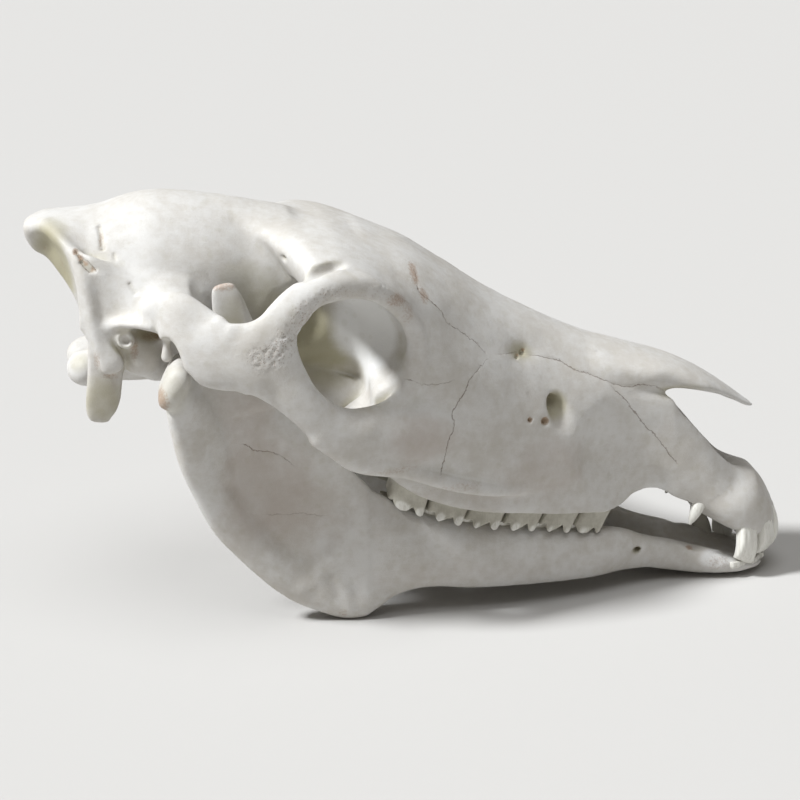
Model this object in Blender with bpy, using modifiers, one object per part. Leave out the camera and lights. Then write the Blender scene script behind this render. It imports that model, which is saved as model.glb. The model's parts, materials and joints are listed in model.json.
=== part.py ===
"""Zebra skull: cranium and lower jaw, life size, resting on the jaw's angles and chin.

+X points to the incisors, +Y to the animal's left, +Z up. Tables are in millimetres and
the mesh is in metres. Both halves of the skull are alike, so a side piece is made twice.
"""

import math

import bmesh
import bpy
import numpy as np
from mathutils import Matrix, Vector

MM = 0.001
SIDES = {"right": -1, "left": 1}
RING = 24
STEPS = 4
FLOOR_CUT = 0.8
TINY = 1e-6

BONE = {"color": (0.83, 0.81, 0.76, 1.0), "roughness": 0.55}

# Central lofts: x, top, height of the widest place, bottom, half width,
# squareness of the upper half and of the lower half.
BRAINCASE = (
    (-246, 250, 246, 241, 8, 2.0, 2.0),
    (-240, 253, 246, 233, 14, 2.2, 1.8),
    (-233, 256, 246, 229, 20, 2.2, 1.8),
    (-226, 257, 243, 219, 27, 2.2, 1.8),
    (-217, 258, 232, 203, 35, 2.0, 2.0),
    (-208, 259, 218, 172, 41, 1.9, 2.0),
    (-198, 261, 210, 156, 46, 1.9, 2.0),
    (-186, 265, 206, 152, 49, 1.9, 2.0),
    (-170, 268, 205, 152, 51, 2.0, 2.0),
    (-150, 267, 206, 153, 50, 2.0, 2.0),
    (-130, 264, 208, 155, 46, 2.0, 2.0),
    (-110, 260, 208, 155, 40, 2.0, 2.0),
    (-88, 254, 206, 152, 36, 2.2, 2.0),
)
INTERORBITAL = (
    (-122, 240, 204, 160, 26, 2.0, 2.0),
    (-104, 250, 204, 154, 34, 2.2, 2.0),
    (-75, 246, 198, 148, 36, 2.4, 2.0),
    (-45, 236, 190, 142, 36, 2.4, 2.0),
    (-15, 220, 180, 130, 38, 2.4, 2.0),
    (15, 202, 170, 120, 38, 2.4, 2.0),
)
FACE = (
    (-42, 238, 124, 104, 73, 2.9, 2.2),
    (-15, 230, 115, 98, 77.5, 3.0, 2.2),
    (10, 218, 105, 91, 74.5, 2.7, 2.2),
    (35, 203, 97, 84, 68, 2.35, 2.4),
    (55, 192, 95, 80, 60.5, 2.2, 2.6),
    (75, 182, 98, 77, 53.5, 2.1, 2.8),
    (95, 173, 103, 74, 47, 2.1, 3.0),
    (115, 165, 107, 70, 40, 2.2, 3.0),
    (135, 158, 105, 67, 34, 2.3, 3.0),
    (150, 150, 106, 66, 27, 2.3, 3.0),
    (162, 138, 108, 74, 18, 2.2, 2.6),
    (172, 124, 110, 90, 8, 2.0, 2.0),
)
FRONTAL_SHELF = (
    (-124, 259, 254, 250, 5, 2.0, 2.0),
    (-112, 258, 248, 240, 16, 2.0, 2.0),
    (-101, 256, 243, 230, 34, 2.0, 2.0),
    (-92, 254, 238, 221, 60, 2.0, 2.2),
    (-84, 253, 234, 214, 84, 2.0, 2.4),
    (-73, 251, 230, 209, 93, 2.0, 2.4),
    (-60, 249, 227, 206, 92, 2.0, 2.4),
    (-45, 244, 222, 200, 87, 2.0, 2.4),
    (-28, 237, 211, 188, 79, 2.0, 2.2),
    (-12, 229, 200, 172, 68, 2.0, 2.2),
    (8, 215, 188, 160, 54, 2.0, 2.0),
    (30, 197, 174, 152, 38, 2.0, 2.0),
)
NASAL_BONES = (
    (88, 158, 146, 128, 20, 2.2, 2.0),
    (108, 163, 149, 128, 29, 2.2, 2.0),
    (135, 158, 146, 128, 30, 2.2, 2.0),
    (160, 151.5, 140, 132, 28, 2.2, 2.0),
    (178, 144, 135, 130, 24, 2.0, 2.0),
    (192, 136, 130, 126, 18, 2.0, 2.0),
    (205, 127, 123, 120, 12, 2.0, 2.0),
    (216, 119, 117, 114, 7, 2.0, 2.0),
    (223, 115, 114, 112, 2.5, 2.0, 2.0),
)
PREMAXILLA = (
    (184, 58, 53, 49, 18, 2.4, 2.4),
    (196, 62, 51, 43, 26, 2.4, 2.4),
    (209, 66, 48, 36, 29, 2.2, 2.4),
    (221, 65, 45, 32, 26, 2.0, 2.6),
    (231, 57, 42, 31, 19, 2.0, 2.6),
    (239, 47, 38, 32, 9, 2.0, 2.4),
)
CHIN = (
    (140, 19, 16, 12, 12, 2.2, 2.0),
    (158, 18, 14, 8, 20, 2.2, 2.0),
    (178, 18, 13, 3, 22, 2.2, 2.2),
    (197, 17, 11, -1, 25, 2.2, 2.2),
    (212, 14.5, 9, 0, 26, 2.2, 2.2),
    (224, 12, 8, 3, 22, 2.2, 2.2),
    (232, 10.5, 8.5, 5, 14, 2.0, 2.0),
)

# Side slabs: x, lower edge's y and z, upper edge's y and z, half thickness.
NASAL_PROCESS = (
    (104, 27, 76, 24, 122, 3),
    (122, 28.5, 71, 26, 129, 4),
    (140, 28, 68, 26.5, 132, 4.5),
    (157, 26.5, 65, 26, 130, 4.5),
    (165, 25.5, 61, 25, 120, 4.5),
    (179, 25, 55, 22.5, 105, 5.0),
    (191, 25, 50, 19, 91, 6.0),
    (203, 24, 45, 14.5, 79, 7.0),
    (213, 20, 40, 11.5, 74, 7.5),
    (221, 15, 38, 9.5, 70, 7.5),
)
TOOTH_BODY_UPPER = (
    (-42, 42, 100, 44, 122, 8),
    (-28, 45, 91, 47, 124, 12),
    (-5, 47, 86, 49, 122, 13),
    (25, 46.5, 76, 48, 114, 13.5),
    (60, 44, 71, 44, 104, 12.5),
    (95, 37, 67, 36, 98, 10.5),
    (116, 31, 67, 31, 90, 8),
    (129, 27, 69, 27, 84, 6),
)
PTERYGOID = (
    (-128, 17, 152, 17, 170, 4),
    (-105, 20, 138, 20, 166, 4),
    (-75, 23, 118, 23, 160, 4),
    (-50, 26, 104, 26, 152, 4.5),
    (-25, 30, 100, 32, 140, 6),
)
JAW_BODY = (
    (-104, 53, 66, 55, 136, 2.0),
    (-84, 51, 38, 54, 122, 4.2),
    (-62, 50, 14, 53, 104, 6.5),
    (-45, 50, 6, 51, 90, 8),
    (-30, 50, 12, 50, 80, 9.5),
    (-5, 48, 18, 46, 66, 11),
    (30, 45, 14.5, 43, 58, 12),
    (60, 42, 13.5, 40, 53, 12),
    (90, 36.5, 12, 35, 49, 11),
    (112, 31, 11.5, 31, 48, 10),
    (130, 25.5, 12, 26, 41, 8.5),
    (148, 21, 11, 21.5, 33, 7.0),
    (168, 17, 7, 19.5, 28, 6.5),
    (186, 16, 4, 21, 28, 7.0),
    (200, 14, 4, 20, 24, 7.0),
)
JAW_RAMUS = (
    (-161, 74, 144, 76, 162, 5),
    (-155, 69, 117, 75, 168, 4.5),
    (-146, 63, 92, 71, 172, 4),
    (-135, 58, 67, 65, 178, 3.6),
    (-123, 55, 50, 60, 186, 3.6),
    (-109, 53, 34, 58, 182, 3.8),
    (-92, 51, 19, 56, 152, 4.2),
    (-73, 50, 9, 54, 126, 5),
    (-57, 49, 3, 53, 106, 6.5),
    (-44, 49, 4, 52, 90, 8),
)

# Sweeps: centre x, y, z, half thickness across and half height along the section.
POSTORBITAL_BAR = (
    (-68, 84, 230, 5, 6),
    (-79, 90, 228, 5.5, 9),
    (-90, 95.5, 221, 5.5, 10.5),
    (-101, 98, 208, 5.5, 12),
    (-110, 97.5, 193, 6, 14),
    (-118, 96, 181, 6, 13),
)
ZYGOMATIC_ARCH = (
    (-171, 69, 212, 7, 8),
    (-164, 76, 213, 6.5, 12.5),
    (-156, 83, 208, 6, 17),
    (-147, 89.5, 198, 6, 21),
    (-135, 94.5, 191, 5.5, 20.5),
    (-121, 97, 189.5, 5, 20.5),
    (-108, 98, 184, 6, 20),
    (-98, 97.5, 173, 6.5, 15.5),
    (-88, 96, 161, 7, 12),
    (-76, 94, 148, 7, 12),
    (-62, 91, 136.5, 7.5, 14),
    (-48, 87, 130, 8, 19),
    (-28, 80, 129, 9, 21),
    (-5, 72, 127, 8, 17),
    (18, 62, 122, 6, 10),
)
FACIAL_CREST = (
    (-78, 94, 137, 4, 4.5),
    (-66, 92, 129, 4, 4.5),
    (-48, 88.5, 118, 4, 4.5),
    (-22, 82, 109, 4, 4.5),
    (8, 75, 97, 4, 4.5),
    (32, 67.5, 89.5, 4, 4),
    (50, 59, 86, 3.5, 3.5),
    (64, 51, 87, 3, 3),
)
ORBIT_RIM = (
    (-101, 97, 192, 5, 6),
    (-98.5, 97.5, 209, 5, 6),
    (-86, 96.5, 222, 5.5, 6),
    (-70, 90.5, 229.5, 5.5, 6),
    (-52, 85.5, 228.5, 5.5, 6),
    (-37, 81, 219.5, 4.5, 6),
    (-25, 75.5, 207, 3.5, 5),
    (-17, 72.5, 192, 3.2, 5),
    (-16.5, 73, 175, 3.2, 5),
    (-21.5, 76.5, 160.5, 3.2, 5),
    (-35, 81.5, 151, 3.2, 4.5),
    (-52, 87, 149, 3.2, 4.5),
    (-68, 90.5, 151.5, 3.5, 4.5),
    (-83, 94, 160, 4, 5),
    (-96, 97, 174, 5, 6),
    (-101, 97, 190, 5, 6),
)
TEMPORAL_ROOT = (
    (-157, 40, 208, 15, 9),
    (-158, 60, 209, 12.5, 11),
    (-156, 76, 208, 9.5, 13.5),
)
JUGULAR_PROCESS = (
    (-199, 46, 182, 4.5, 11),
    (-202, 46, 165, 4.5, 12),
    (-204.5, 45, 151, 4.2, 10.5),
    (-206, 43.5, 141, 3.6, 7.5),
)
NUCHAL_CREST = (
    (-240, 8, 247, 3, 3),
    (-230, 19, 249, 3, 4),
    (-225, 30, 246.5, 2.6, 6),
    (-218, 39, 240.5, 2.6, 7),
    (-213, 43.5, 233, 2.6, 7),
    (-210, 46, 222, 2.8, 7),
    (-208, 48, 208, 2.8, 7),
    (-205.5, 49, 195, 3, 7),
    (-202, 49.5, 182, 3, 6),
)
SKULL_BASE = (
    (-212, 0, 161, 17, 9),
    (-190, 0, 159, 15, 9),
    (-150, 0, 161, 14, 9),
    (-110, 0, 161, 13, 9),
    (-78, 0, 158, 12, 8),
)
JAW_RIM = (
    (-157, 75, 152, 6, 6.5),
    (-151, 68, 119, 5.5, 7),
    (-141, 63, 95, 5, 8),
    (-129, 58, 72, 5.5, 8.5),
    (-116, 55.5, 56, 6, 8.5),
    (-102, 53.5, 41, 6, 8.5),
    (-86, 51.5, 26, 6.5, 8.5),
    (-69, 50, 15, 7.5, 8),
    (-52, 49, 8, 8, 7.5),
    (-40, 49, 13, 7, 7),
)
CORONOID = (
    (-112, 58, 150, 3.8, 20),
    (-117, 58, 172, 4, 16),
    (-123, 58, 194, 4, 12.5),
    (-128, 57.5, 210, 3.5, 10.5),
    (-132, 57, 218, 2.8, 7),
)
JAW_NECK = (
    (-136, 61, 104, 2.5, 6),
    (-142, 65, 126, 3.5, 8),
    (-149, 70, 146, 5, 8.5),
    (-157, 76, 162, 7.5, 7.5),
)
MASTOID = (
    (-207, 50, 200, 3, 3),
    (-204.5, 51, 189, 3, 3.5),
    (-201, 52, 180, 4, 5),
    (-197, 52, 174, 4.5, 7),
)
EAR_LEDGE = (
    (-203, 48, 193, 4, 6),
    (-193, 55, 198, 3.5, 6),
    (-182, 62, 201, 3.5, 7),
    (-170, 70, 203, 4, 8),
)
RETROARTICULAR = (
    (-168, 71, 206, 6, 5),
    (-167, 71, 198, 4.5, 3),
    (-167, 71, 192, 3.6, 2.6),
    (-167, 71, 187.5, 4, 3.8),
)
EAR_TUBE = (
    (-184, 38, 184, 7, 7),
    (-186, 48, 187, 5.5, 5.5),
    (-187, 55, 188.5, 4.6, 4.6),
)
INFRAORBITAL_HOLE = (
    (69, 38, 141, 4, 3),
    (76, 46.5, 136, 5, 6),
    (83, 51, 129, 5, 9),
    (90, 52, 122, 3, 7),
)

# Ellipsoids: centre, half sizes, and degrees turned about X, Y and Z.
JAW_CONDYLE = ((-163, 77.5, 168.5), (8.5, 20, 13), (3, 26, -8))
OCCIPITAL_CONDYLE = ((-210.5, 25, 164), (12.5, 12.5, 13.5), (0, 0, -20))
MAXILLA_TUBER = ((-42, 46, 122), (22, 15, 22), (0, 0, 0))
EAR_MASS = ((-178, 42, 178), (13, 10, 14), (0, 0, 0))
BULLA = ((-169, 34, 168), (13, 10, 10), (0, 0, 0))
ORBIT_HOLE = ((-58, 76, 189), (38, 35, 35), (0, 0, -15))
ORBIT_REAR_HOLE = ((-84, 56, 184), (25, 27, 26), (0, 0, 12))
FOSSA_HOLE = ((-118, 68, 214), (25, 21, 60), (0, 12, 0))
BEHIND_CREST_HOLE = ((-208, 64, 232), (20, 16, 26), (0, 0, 20))
GLENOID_HOLE = ((-162, 78, 171), (15, 28, 14), (0, 0, 0))
JOINT_GAP_HOLE = ((-164, 88, 186), (6.5, 17, 17), (0, -12, 0))
EAR_HOLLOW = ((-179, 62, 186), (10, 14, 10), (0, 0, 0))
NUCHAL_HOLLOW = ((-238, 27, 224), (12, 17, 27), (0, -33, 0))
LOW_NUCHAL_HOLLOW = ((-224, 30, 192), (9, 13, 15), (0, 0, 0))
CHEEK_HOLLOW = ((-6, 85, 88), (66, 17, 13), (0, 14, -14))
SNOUT_HOLLOW = ((134, 46, 102), (36, 13.5, 32), (0, 0, 0))
NASAL_HOLLOW = ((164, 42, 139), (20, 15, 8), (0, 20, 6))
FORAMEN_MAGNUM = ((-216, 0, 178), (34, 15, 13), (0, 0, 0))
EAR_HOLE = ((-187, 56, 188.7), (2.9, 12, 2.9), (0, 0, 0))
MASSETER_HOLLOW = ((-104, 81, 84), (46, 20.5, 50), (0, -26, 0))
CHIN_SCOOP = ((186, 0, 27), (30, 13, 12), (0, 6, 0))

# Cutters: the same layout as the central lofts.
NOSE_HOLE = (
    (60, 152, 128, 100, 12, 2.0, 2.0),
    (100, 158, 128, 88, 22, 2.2, 2.4),
    (150, 149, 122, 76, 21, 2.2, 2.6),
    (170, 142, 116, 68, 20, 2.2, 2.6),
    (188, 133, 100, 66, 15, 2.2, 2.6),
    (206, 122, 98, 71, 9, 2.0, 2.2),
    (226, 112, 100, 84, 4, 2.0, 2.0),
)
CHOANA_HOLE = (
    (-74, 146, 130, 96, 17, 2.4, 2.4),
    (-40, 138, 118, 92, 21, 2.4, 2.4),
    (-18, 132, 112, 96, 22, 2.4, 2.4),
    (12, 124, 112, 104, 16, 2.2, 2.2),
)

# Cheek teeth: front x of the row, tooth count, pitch, outer y and width across.
UPPER_ROW = {"front": 117.0, "rear": -29.0, "outer_front": 41.0, "outer_back": 56.5, "width": 22.0}
LOWER_ROW = {"front": 113.0, "rear": -32.0, "outer_front": 38.0, "outer_back": 46.0, "width": 14.0}
CHEEK_TEETH = 6
BITE = ((-32, 87), (-22, 83), (-9, 77.5), (13, 71), (37, 65.5), (58, 61.5), (80, 58.5), (116, 57.5))
BITE_GAP = 1.0
BITE_DROP = 3.2
CUSP = 3.5
TOOTH_ROOT = 16.0

ARCADE_UPPER = {"centre": 203.0, "reach": 38.0, "half_width": 27.5}
ARCADE_LOWER = {"centre": 199.0, "reach": 35.0, "half_width": 25.0}
INCISOR_ANGLES = (16, 43, 70)
UPPER_CANINE = ((181, 26, 56, 5.5), (178, 26.5, 49, 4.2), (174.5, 27, 42, 1.2))


def smooth_table(table, steps=STEPS):
    """Catmull-Rom values between the rows of a table, as an array."""
    rows = np.array(table, float)
    padded = np.vstack([2 * rows[0] - rows[1], rows, 2 * rows[-1] - rows[-2]])
    made = []
    for i in range(len(rows) - 1):
        a, b, c, d = padded[i : i + 4]
        for t in np.arange(steps) / steps:
            made.append(
                0.5
                * (2 * b + (c - a) * t + (2 * a - 5 * b + 4 * c - d) * t**2 + (3 * b - a - 3 * c + d) * t**3)
            )
    made.append(rows[-1])
    return np.array(made)


def superellipse(n, squareness):
    """n points round a unit superellipse, as (across, up)."""
    angle = np.arange(n) * 2 * math.pi / n
    c, s = np.cos(angle), np.sin(angle)
    power = 2.0 / squareness
    return np.sign(c) * np.abs(c) ** power, np.sign(s) * np.abs(s) ** power


def new_object(name, mesh, collection):
    obj = bpy.data.objects.new(name, mesh)
    collection.objects.link(obj)
    return obj


def tube_of_rings(name, rings, collection):
    """A closed mesh through rings of points, each end drawn in to a pole."""
    bm = bmesh.new()
    loops = [[bm.verts.new(Vector(p) * MM) for p in ring] for ring in rings]
    count = len(loops[0])
    for first, second in zip(loops, loops[1:]):
        for i in range(count):
            j = (i + 1) % count
            bm.faces.new((first[i], first[j], second[j], second[i]))
    for loop, ring in ((loops[0], rings[0]), (loops[-1], rings[-1])):
        pole = bm.verts.new(Vector(np.mean(ring, axis=0)) * MM)
        for i in range(count):
            bm.faces.new((loop[i], loop[(i + 1) % count], pole))
    bmesh.ops.recalc_face_normals(bm, faces=bm.faces)
    mesh = bpy.data.meshes.new(name)
    bm.to_mesh(mesh)
    bm.free()
    return new_object(name, mesh, collection)


def rounded_ends(rings, reach):
    """Adds two smaller rings past each end, so that a tube ends in a dome."""
    made = list(rings)
    for at, inward in ((0, 1), (-1, -2)):
        end = np.array(made[at])
        centre = end.mean(axis=0)
        out = centre - np.array(made[inward]).mean(axis=0)
        out = out / max(np.linalg.norm(out), TINY) * reach
        domes = [centre + (end - centre) * size + out * far for far, size in ((0.6, 0.8), (0.95, 0.4))]
        made = domes[::-1] + made if at == 0 else made + domes
    return made


def central_loft(name, table, collection):
    """A loft of sections across X, each an upper and a lower half superellipse."""
    rings = []
    for x, top, wide, low, half, n_up, n_low in smooth_table(table):
        across_up, up = superellipse(RING, n_up)
        across_low, down = superellipse(RING, n_low)
        upper = up > 0
        y = np.where(upper, across_up, across_low) * half
        z = wide + np.where(upper, up * (top - wide), down * (wide - low))
        rings.append(np.column_stack([np.full(RING, x), y, z]))
    return tube_of_rings(name, rings, collection)


def side_slab(name, table, side, collection, squareness=2.6):
    """A plate whose sections across X run from a lower edge to an upper edge."""
    across, up = superellipse(RING, squareness)
    rings = []
    for x, y_low, z_low, y_high, z_high, half in smooth_table(table):
        y = (y_low + y_high) / 2 + up * (y_high - y_low) / 2 + across * half
        z = (z_low + z_high) / 2 + up * (z_high - z_low) / 2
        rings.append(np.column_stack([np.full(RING, x), y * side, z]))
    return tube_of_rings(name, rings, collection)


def sweep(name, table, side, collection, hint=(0, 1, 0), squareness=2.2):
    """A tube along a path, its section's thickness turned towards the hint."""
    rows = smooth_table(table)
    rows[:, 1] *= side
    path = rows[:, :3]
    tangents = np.gradient(path, axis=0)
    across, up = superellipse(RING, squareness)
    rings = []
    for centre, tangent, half, height in zip(path, tangents, rows[:, 3], rows[:, 4]):
        tangent = tangent / np.linalg.norm(tangent)
        thick = np.array(hint, float) - np.dot(hint, tangent) * tangent
        thick /= np.linalg.norm(thick)
        tall = np.cross(tangent, thick)
        rings.append(centre + np.outer(across * half, thick) + np.outer(up * height, tall))
    return tube_of_rings(name, rounded_ends(rings, min(rows[0, 3:5])), collection)


def ellipsoid(name, spec, side, collection):
    """A UV sphere scaled to three half sizes, then turned and moved."""
    (x, y, z), sizes, turn = spec
    bm = bmesh.new()
    bmesh.ops.create_uvsphere(bm, u_segments=28, v_segments=18, radius=1.0)
    turning = Matrix.Identity(4)
    for axis, angle in zip("XYZ", turn):
        sign = 1 if axis == "Y" else side
        turning = Matrix.Rotation(math.radians(angle * sign), 4, axis) @ turning
    scale = Matrix.Diagonal((*(s * MM for s in sizes), 1))
    bm.transform(Matrix.Translation(Vector((x, y * side, z)) * MM) @ turning @ scale)
    mesh = bpy.data.meshes.new(name)
    bm.to_mesh(mesh)
    bm.free()
    return new_object(name, mesh, collection)


def bite_height(x):
    """Height of the line where the cheek teeth meet."""
    return float(np.interp(x, *zip(*BITE)))


def cheek_tooth(name, row, index, side, upper, collection):
    """A cheek tooth: a ridged prism from its socket to the bite."""
    pitch = (row["front"] - row["rear"]) / CHEEK_TEETH
    middle = row["front"] - pitch * (index + 0.5)
    outer = np.interp(
        middle,
        [row["rear"], (row["rear"] + row["front"]) / 2, row["front"]],
        [row["outer_back"], row["outer_back"], row["outer_front"]],
    )
    half_long, width = pitch / 2 - 0.25, row["width"]
    # Corners as shares of the half length along the row and of the width from the outer face.
    # The third value marks a ridge of the outer face.
    outline = (
        (-1.0, 0.10, 0), (-0.82, -0.04, 1), (-0.45, 0.09, 0), (0.0, -0.05, 1), (0.4, 0.09, 0),
        (0.8, -0.05, 1), (1.0, 0.12, 0), (0.98, 0.75, 0), (0.7, 1.0, 0), (-0.7, 1.0, 0), (-1.0, 0.8, 0),
    )
    rings = []
    for share in (0.0, 0.5, 1.0):
        ring = []
        for along, deep, ridge in outline:
            x = middle + along * half_long
            y = outer - deep * width
            bite = bite_height(x)
            if upper:
                end = bite + BITE_GAP / 2 - CUSP * ridge - CUSP * 0.6 * (deep < 0.2) + deep * 1.5
                root = bite + TOOTH_ROOT
            else:
                end = bite - BITE_DROP + deep * 1.5
                root = bite - TOOTH_ROOT
            ring.append((x, y * side, root + (end - root) * share))
        rings.append(np.array(ring))
    return tube_of_rings(name, rings, collection)


def incisor(name, arcade, angle, side, upper, collection):
    """A curved incisor on the arch of the front teeth."""
    a = math.radians(angle)
    base = np.array([arcade["centre"] + arcade["reach"] * math.cos(a), arcade["half_width"] * math.sin(a) * side, 0])
    out = np.array([math.cos(a), math.sin(a) * side, 0])
    along = np.array([-out[1], out[0], 0])
    across, up = superellipse(12, 2.6)
    if upper:
        levels = ((46, -3.0, 6.0, 5.2), (34, 0.5, 6.6, 5.2), (25, 0.5, 6.8, 4.8), (16.5, -2.5, 6.4, 3.2))
    else:
        levels = ((3.5, -14.0, 4.5, 3.5), (6.5, -6.0, 6.0, 4.2), (10, 0.0, 6.4, 4.0), (14.6, 2.0, 6.4, 2.6))
    rings = []
    for z, reach, half, thick in levels:
        centre = base + out * reach + np.array([0, 0, z])
        rings.append(centre + np.outer(across * half, along) + np.outer(up * thick, out))
    return tube_of_rings(name, rings, collection)


def canine(name, side, collection):
    """A short cone with a bent tip."""
    across, up = superellipse(10, 2.0)
    rings = []
    for x, y, z, radius in UPPER_CANINE:
        ring = np.column_stack([across * radius, up * radius, np.zeros(10)])
        rings.append(ring + np.array([x, y * side, z]))
    return tube_of_rings(name, rings, collection)


def add_modifier(obj, kind, **settings):
    modifier = obj.modifiers.new(kind.title(), kind)
    for key, value in settings.items():
        setattr(modifier, key, value)


def bake(obj):
    """Replaces the object's mesh by its evaluated one."""
    bpy.context.view_layer.update()
    evaluated = obj.evaluated_get(bpy.context.evaluated_depsgraph_get())
    mesh = bpy.data.meshes.new_from_object(evaluated)
    obj.modifiers.clear()
    obj.data = mesh


def keep_largest(obj):
    """Drops every closed surface but the largest."""
    bm = bmesh.new()
    bm.from_mesh(obj.data)
    left, groups = set(bm.verts), []
    while left:
        group, front = set(), [left.pop()]
        while front:
            vert = front.pop()
            group.add(vert)
            for edge in vert.link_edges:
                other = edge.other_vert(vert)
                if other in left:
                    left.discard(other)
                    front.append(other)
        groups.append(group)
    largest = max(groups, key=len)
    bmesh.ops.delete(bm, geom=[v for v in bm.verts if v not in largest], context="VERTS")
    bm.to_mesh(obj.data)
    bm.free()


def remove_all(collection):
    for obj in list(collection.objects):
        bpy.data.objects.remove(obj)
    bpy.data.collections.remove(collection)


def combine(obj, collection, operation):
    """One Boolean with a whole collection, applied, whose objects then go."""
    add_modifier(
        obj, "BOOLEAN", operation=operation, operand_type="COLLECTION", collection=collection, solver="MANIFOLD"
    )
    bake(obj)
    remove_all(collection)


def helper_collection(name):
    made = bpy.data.collections.new(name)
    bpy.context.scene.collection.children.link(made)
    return made


def ellipsoids(specs, collection, midline=()):
    """Ellipsoids on both sides, and one each of those on the midline."""
    for name, spec in specs.items():
        for word, side in SIDES.items():
            ellipsoid(name + "_" + word, spec, side, collection)
    for name, spec in dict(midline).items():
        ellipsoid(name, spec, 1, collection)


def main_bones(pieces):
    """The brain case, the face and the bone over the teeth."""
    for name, table in (
        ("interorbital", INTERORBITAL),
        ("face", FACE),
        ("frontal_shelf", FRONTAL_SHELF),
        ("nasal_bones", NASAL_BONES),
    ):
        central_loft(name, table, pieces)
    sweep("skull_base", SKULL_BASE, 1, pieces)
    ellipsoids({"maxilla_tuber": MAXILLA_TUBER}, pieces)
    for word, side in SIDES.items():
        side_slab("tooth_body_" + word, TOOTH_BODY_UPPER, side, pieces)
        sweep("temporal_root_" + word, TEMPORAL_ROOT, side, pieces, hint=(1, 0, 0))


def main_hollows(cutters):
    """The orbits and the temporal hollows."""
    ellipsoids(
        {
            "orbit_hole": ORBIT_HOLE,
            "orbit_rear_hole": ORBIT_REAR_HOLE,
            "fossa_hole": FOSSA_HOLE,
            "behind_crest_hole": BEHIND_CREST_HOLE,
        },
        cutters,
    )


def arches_and_crests(pieces):
    """The bars, arches, rims and crests, and the front of the upper jaw."""
    central_loft("premaxilla", PREMAXILLA, pieces)
    for word, side in SIDES.items():
        side_slab("nasal_process_" + word, NASAL_PROCESS, side, pieces)
        side_slab("pterygoid_" + word, PTERYGOID, side, pieces)
        sweep("postorbital_bar_" + word, POSTORBITAL_BAR, side, pieces)
        sweep("orbit_rim_" + word, ORBIT_RIM, side, pieces)
        sweep("zygomatic_arch_" + word, ZYGOMATIC_ARCH, side, pieces)
        sweep("facial_crest_" + word, FACIAL_CREST, side, pieces)
        sweep("ear_ledge_" + word, EAR_LEDGE, side, pieces, hint=(0, 0, 1))
        sweep("nuchal_crest_" + word, NUCHAL_CREST, side, pieces, hint=(1, 0, 0.5))


def joint_and_face_hollows(cutters):
    """The jaw's sockets, the ear's hollows and the shallow hollows of the face and the nape."""
    ellipsoids(
        {
            "glenoid_hole": GLENOID_HOLE,
            "joint_gap_hole": JOINT_GAP_HOLE,
            "ear_hollow": EAR_HOLLOW,
            "nuchal_hollow": NUCHAL_HOLLOW,
            "low_nuchal_hollow": LOW_NUCHAL_HOLLOW,
            "cheek_hollow": CHEEK_HOLLOW,
            "snout_hollow": SNOUT_HOLLOW,
            "nasal_hollow": NASAL_HOLLOW,
        },
        cutters,
    )


def ear_and_neck_bones(pieces):
    """The ear's bones, the processes behind it and the neck joint's knobs."""
    ellipsoids({"occipital_condyle": OCCIPITAL_CONDYLE, "ear_mass": EAR_MASS, "bulla": BULLA}, pieces)
    for word, side in SIDES.items():
        sweep("jugular_process_" + word, JUGULAR_PROCESS, side, pieces)
        sweep("mastoid_" + word, MASTOID, side, pieces)
        sweep("retroarticular_" + word, RETROARTICULAR, side, pieces)
        sweep("ear_tube_" + word, EAR_TUBE, side, pieces, hint=(1, 0, 0))


def passages(cutters):
    """The nose, the throat's opening, the spinal cord's hole and the small side holes."""
    central_loft("nose_hole", NOSE_HOLE, cutters)
    central_loft("choana_hole", CHOANA_HOLE, cutters)
    ellipsoids({"ear_hole": EAR_HOLE}, cutters, {"foramen_magnum": FORAMEN_MAGNUM})
    for word, side in SIDES.items():
        sweep("infraorbital_hole_" + word, INFRAORBITAL_HOLE, side, cutters)


def jaw_pieces(pieces):
    """The bones of the lower jaw but its chin."""
    for word, side in SIDES.items():
        side_slab("jaw_body_" + word, JAW_BODY, side, pieces)
        side_slab("jaw_ramus_" + word, JAW_RAMUS, side, pieces, squareness=3.0)
        sweep("jaw_rim_" + word, JAW_RIM, side, pieces)
        sweep("coronoid_" + word, CORONOID, side, pieces)
        sweep("jaw_neck_" + word, JAW_NECK, side, pieces)
    ellipsoids({"jaw_condyle": JAW_CONDYLE}, pieces)


def upper_teeth(teeth):
    for word, side in SIDES.items():
        for i in range(CHEEK_TEETH):
            cheek_tooth(f"upper_cheek_{word}_{i}", UPPER_ROW, i, side, True, teeth)
        for i, angle in enumerate(INCISOR_ANGLES):
            incisor(f"upper_incisor_{word}_{i}", ARCADE_UPPER, angle, side, True, teeth)
        canine("upper_canine_" + word, side, teeth)


def lower_teeth(teeth):
    for word, side in SIDES.items():
        for i in range(CHEEK_TEETH):
            cheek_tooth(f"lower_cheek_{word}_{i}", LOWER_ROW, i, side, False, teeth)
        for i, angle in enumerate(INCISOR_ANGLES):
            incisor(f"lower_incisor_{word}_{i}", ARCADE_LOWER, angle, side, False, teeth)


def organic(obj, voxel, rounds, faces):
    """Melts the joined pieces into one skin and thins it to a number of triangles."""
    add_modifier(obj, "REMESH", mode="VOXEL", voxel_size=voxel * MM)
    add_modifier(obj, "SMOOTH", factor=0.5, iterations=rounds)
    add_modifier(obj, "TRIANGULATE")
    bake(obj)
    keep_largest(obj)
    add_modifier(obj, "DECIMATE", ratio=min(1.0, faces / len(obj.data.polygons)))
    bake(obj)


def bone_material(name):
    material = bpy.data.materials.new(name)
    material.use_nodes = True
    shader = material.node_tree.nodes["Principled BSDF"]
    shader.inputs["Base Color"].default_value = BONE["color"]
    shader.inputs["Roughness"].default_value = BONE["roughness"]
    shader.inputs["Metallic"].default_value = 0.0
    return material


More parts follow.
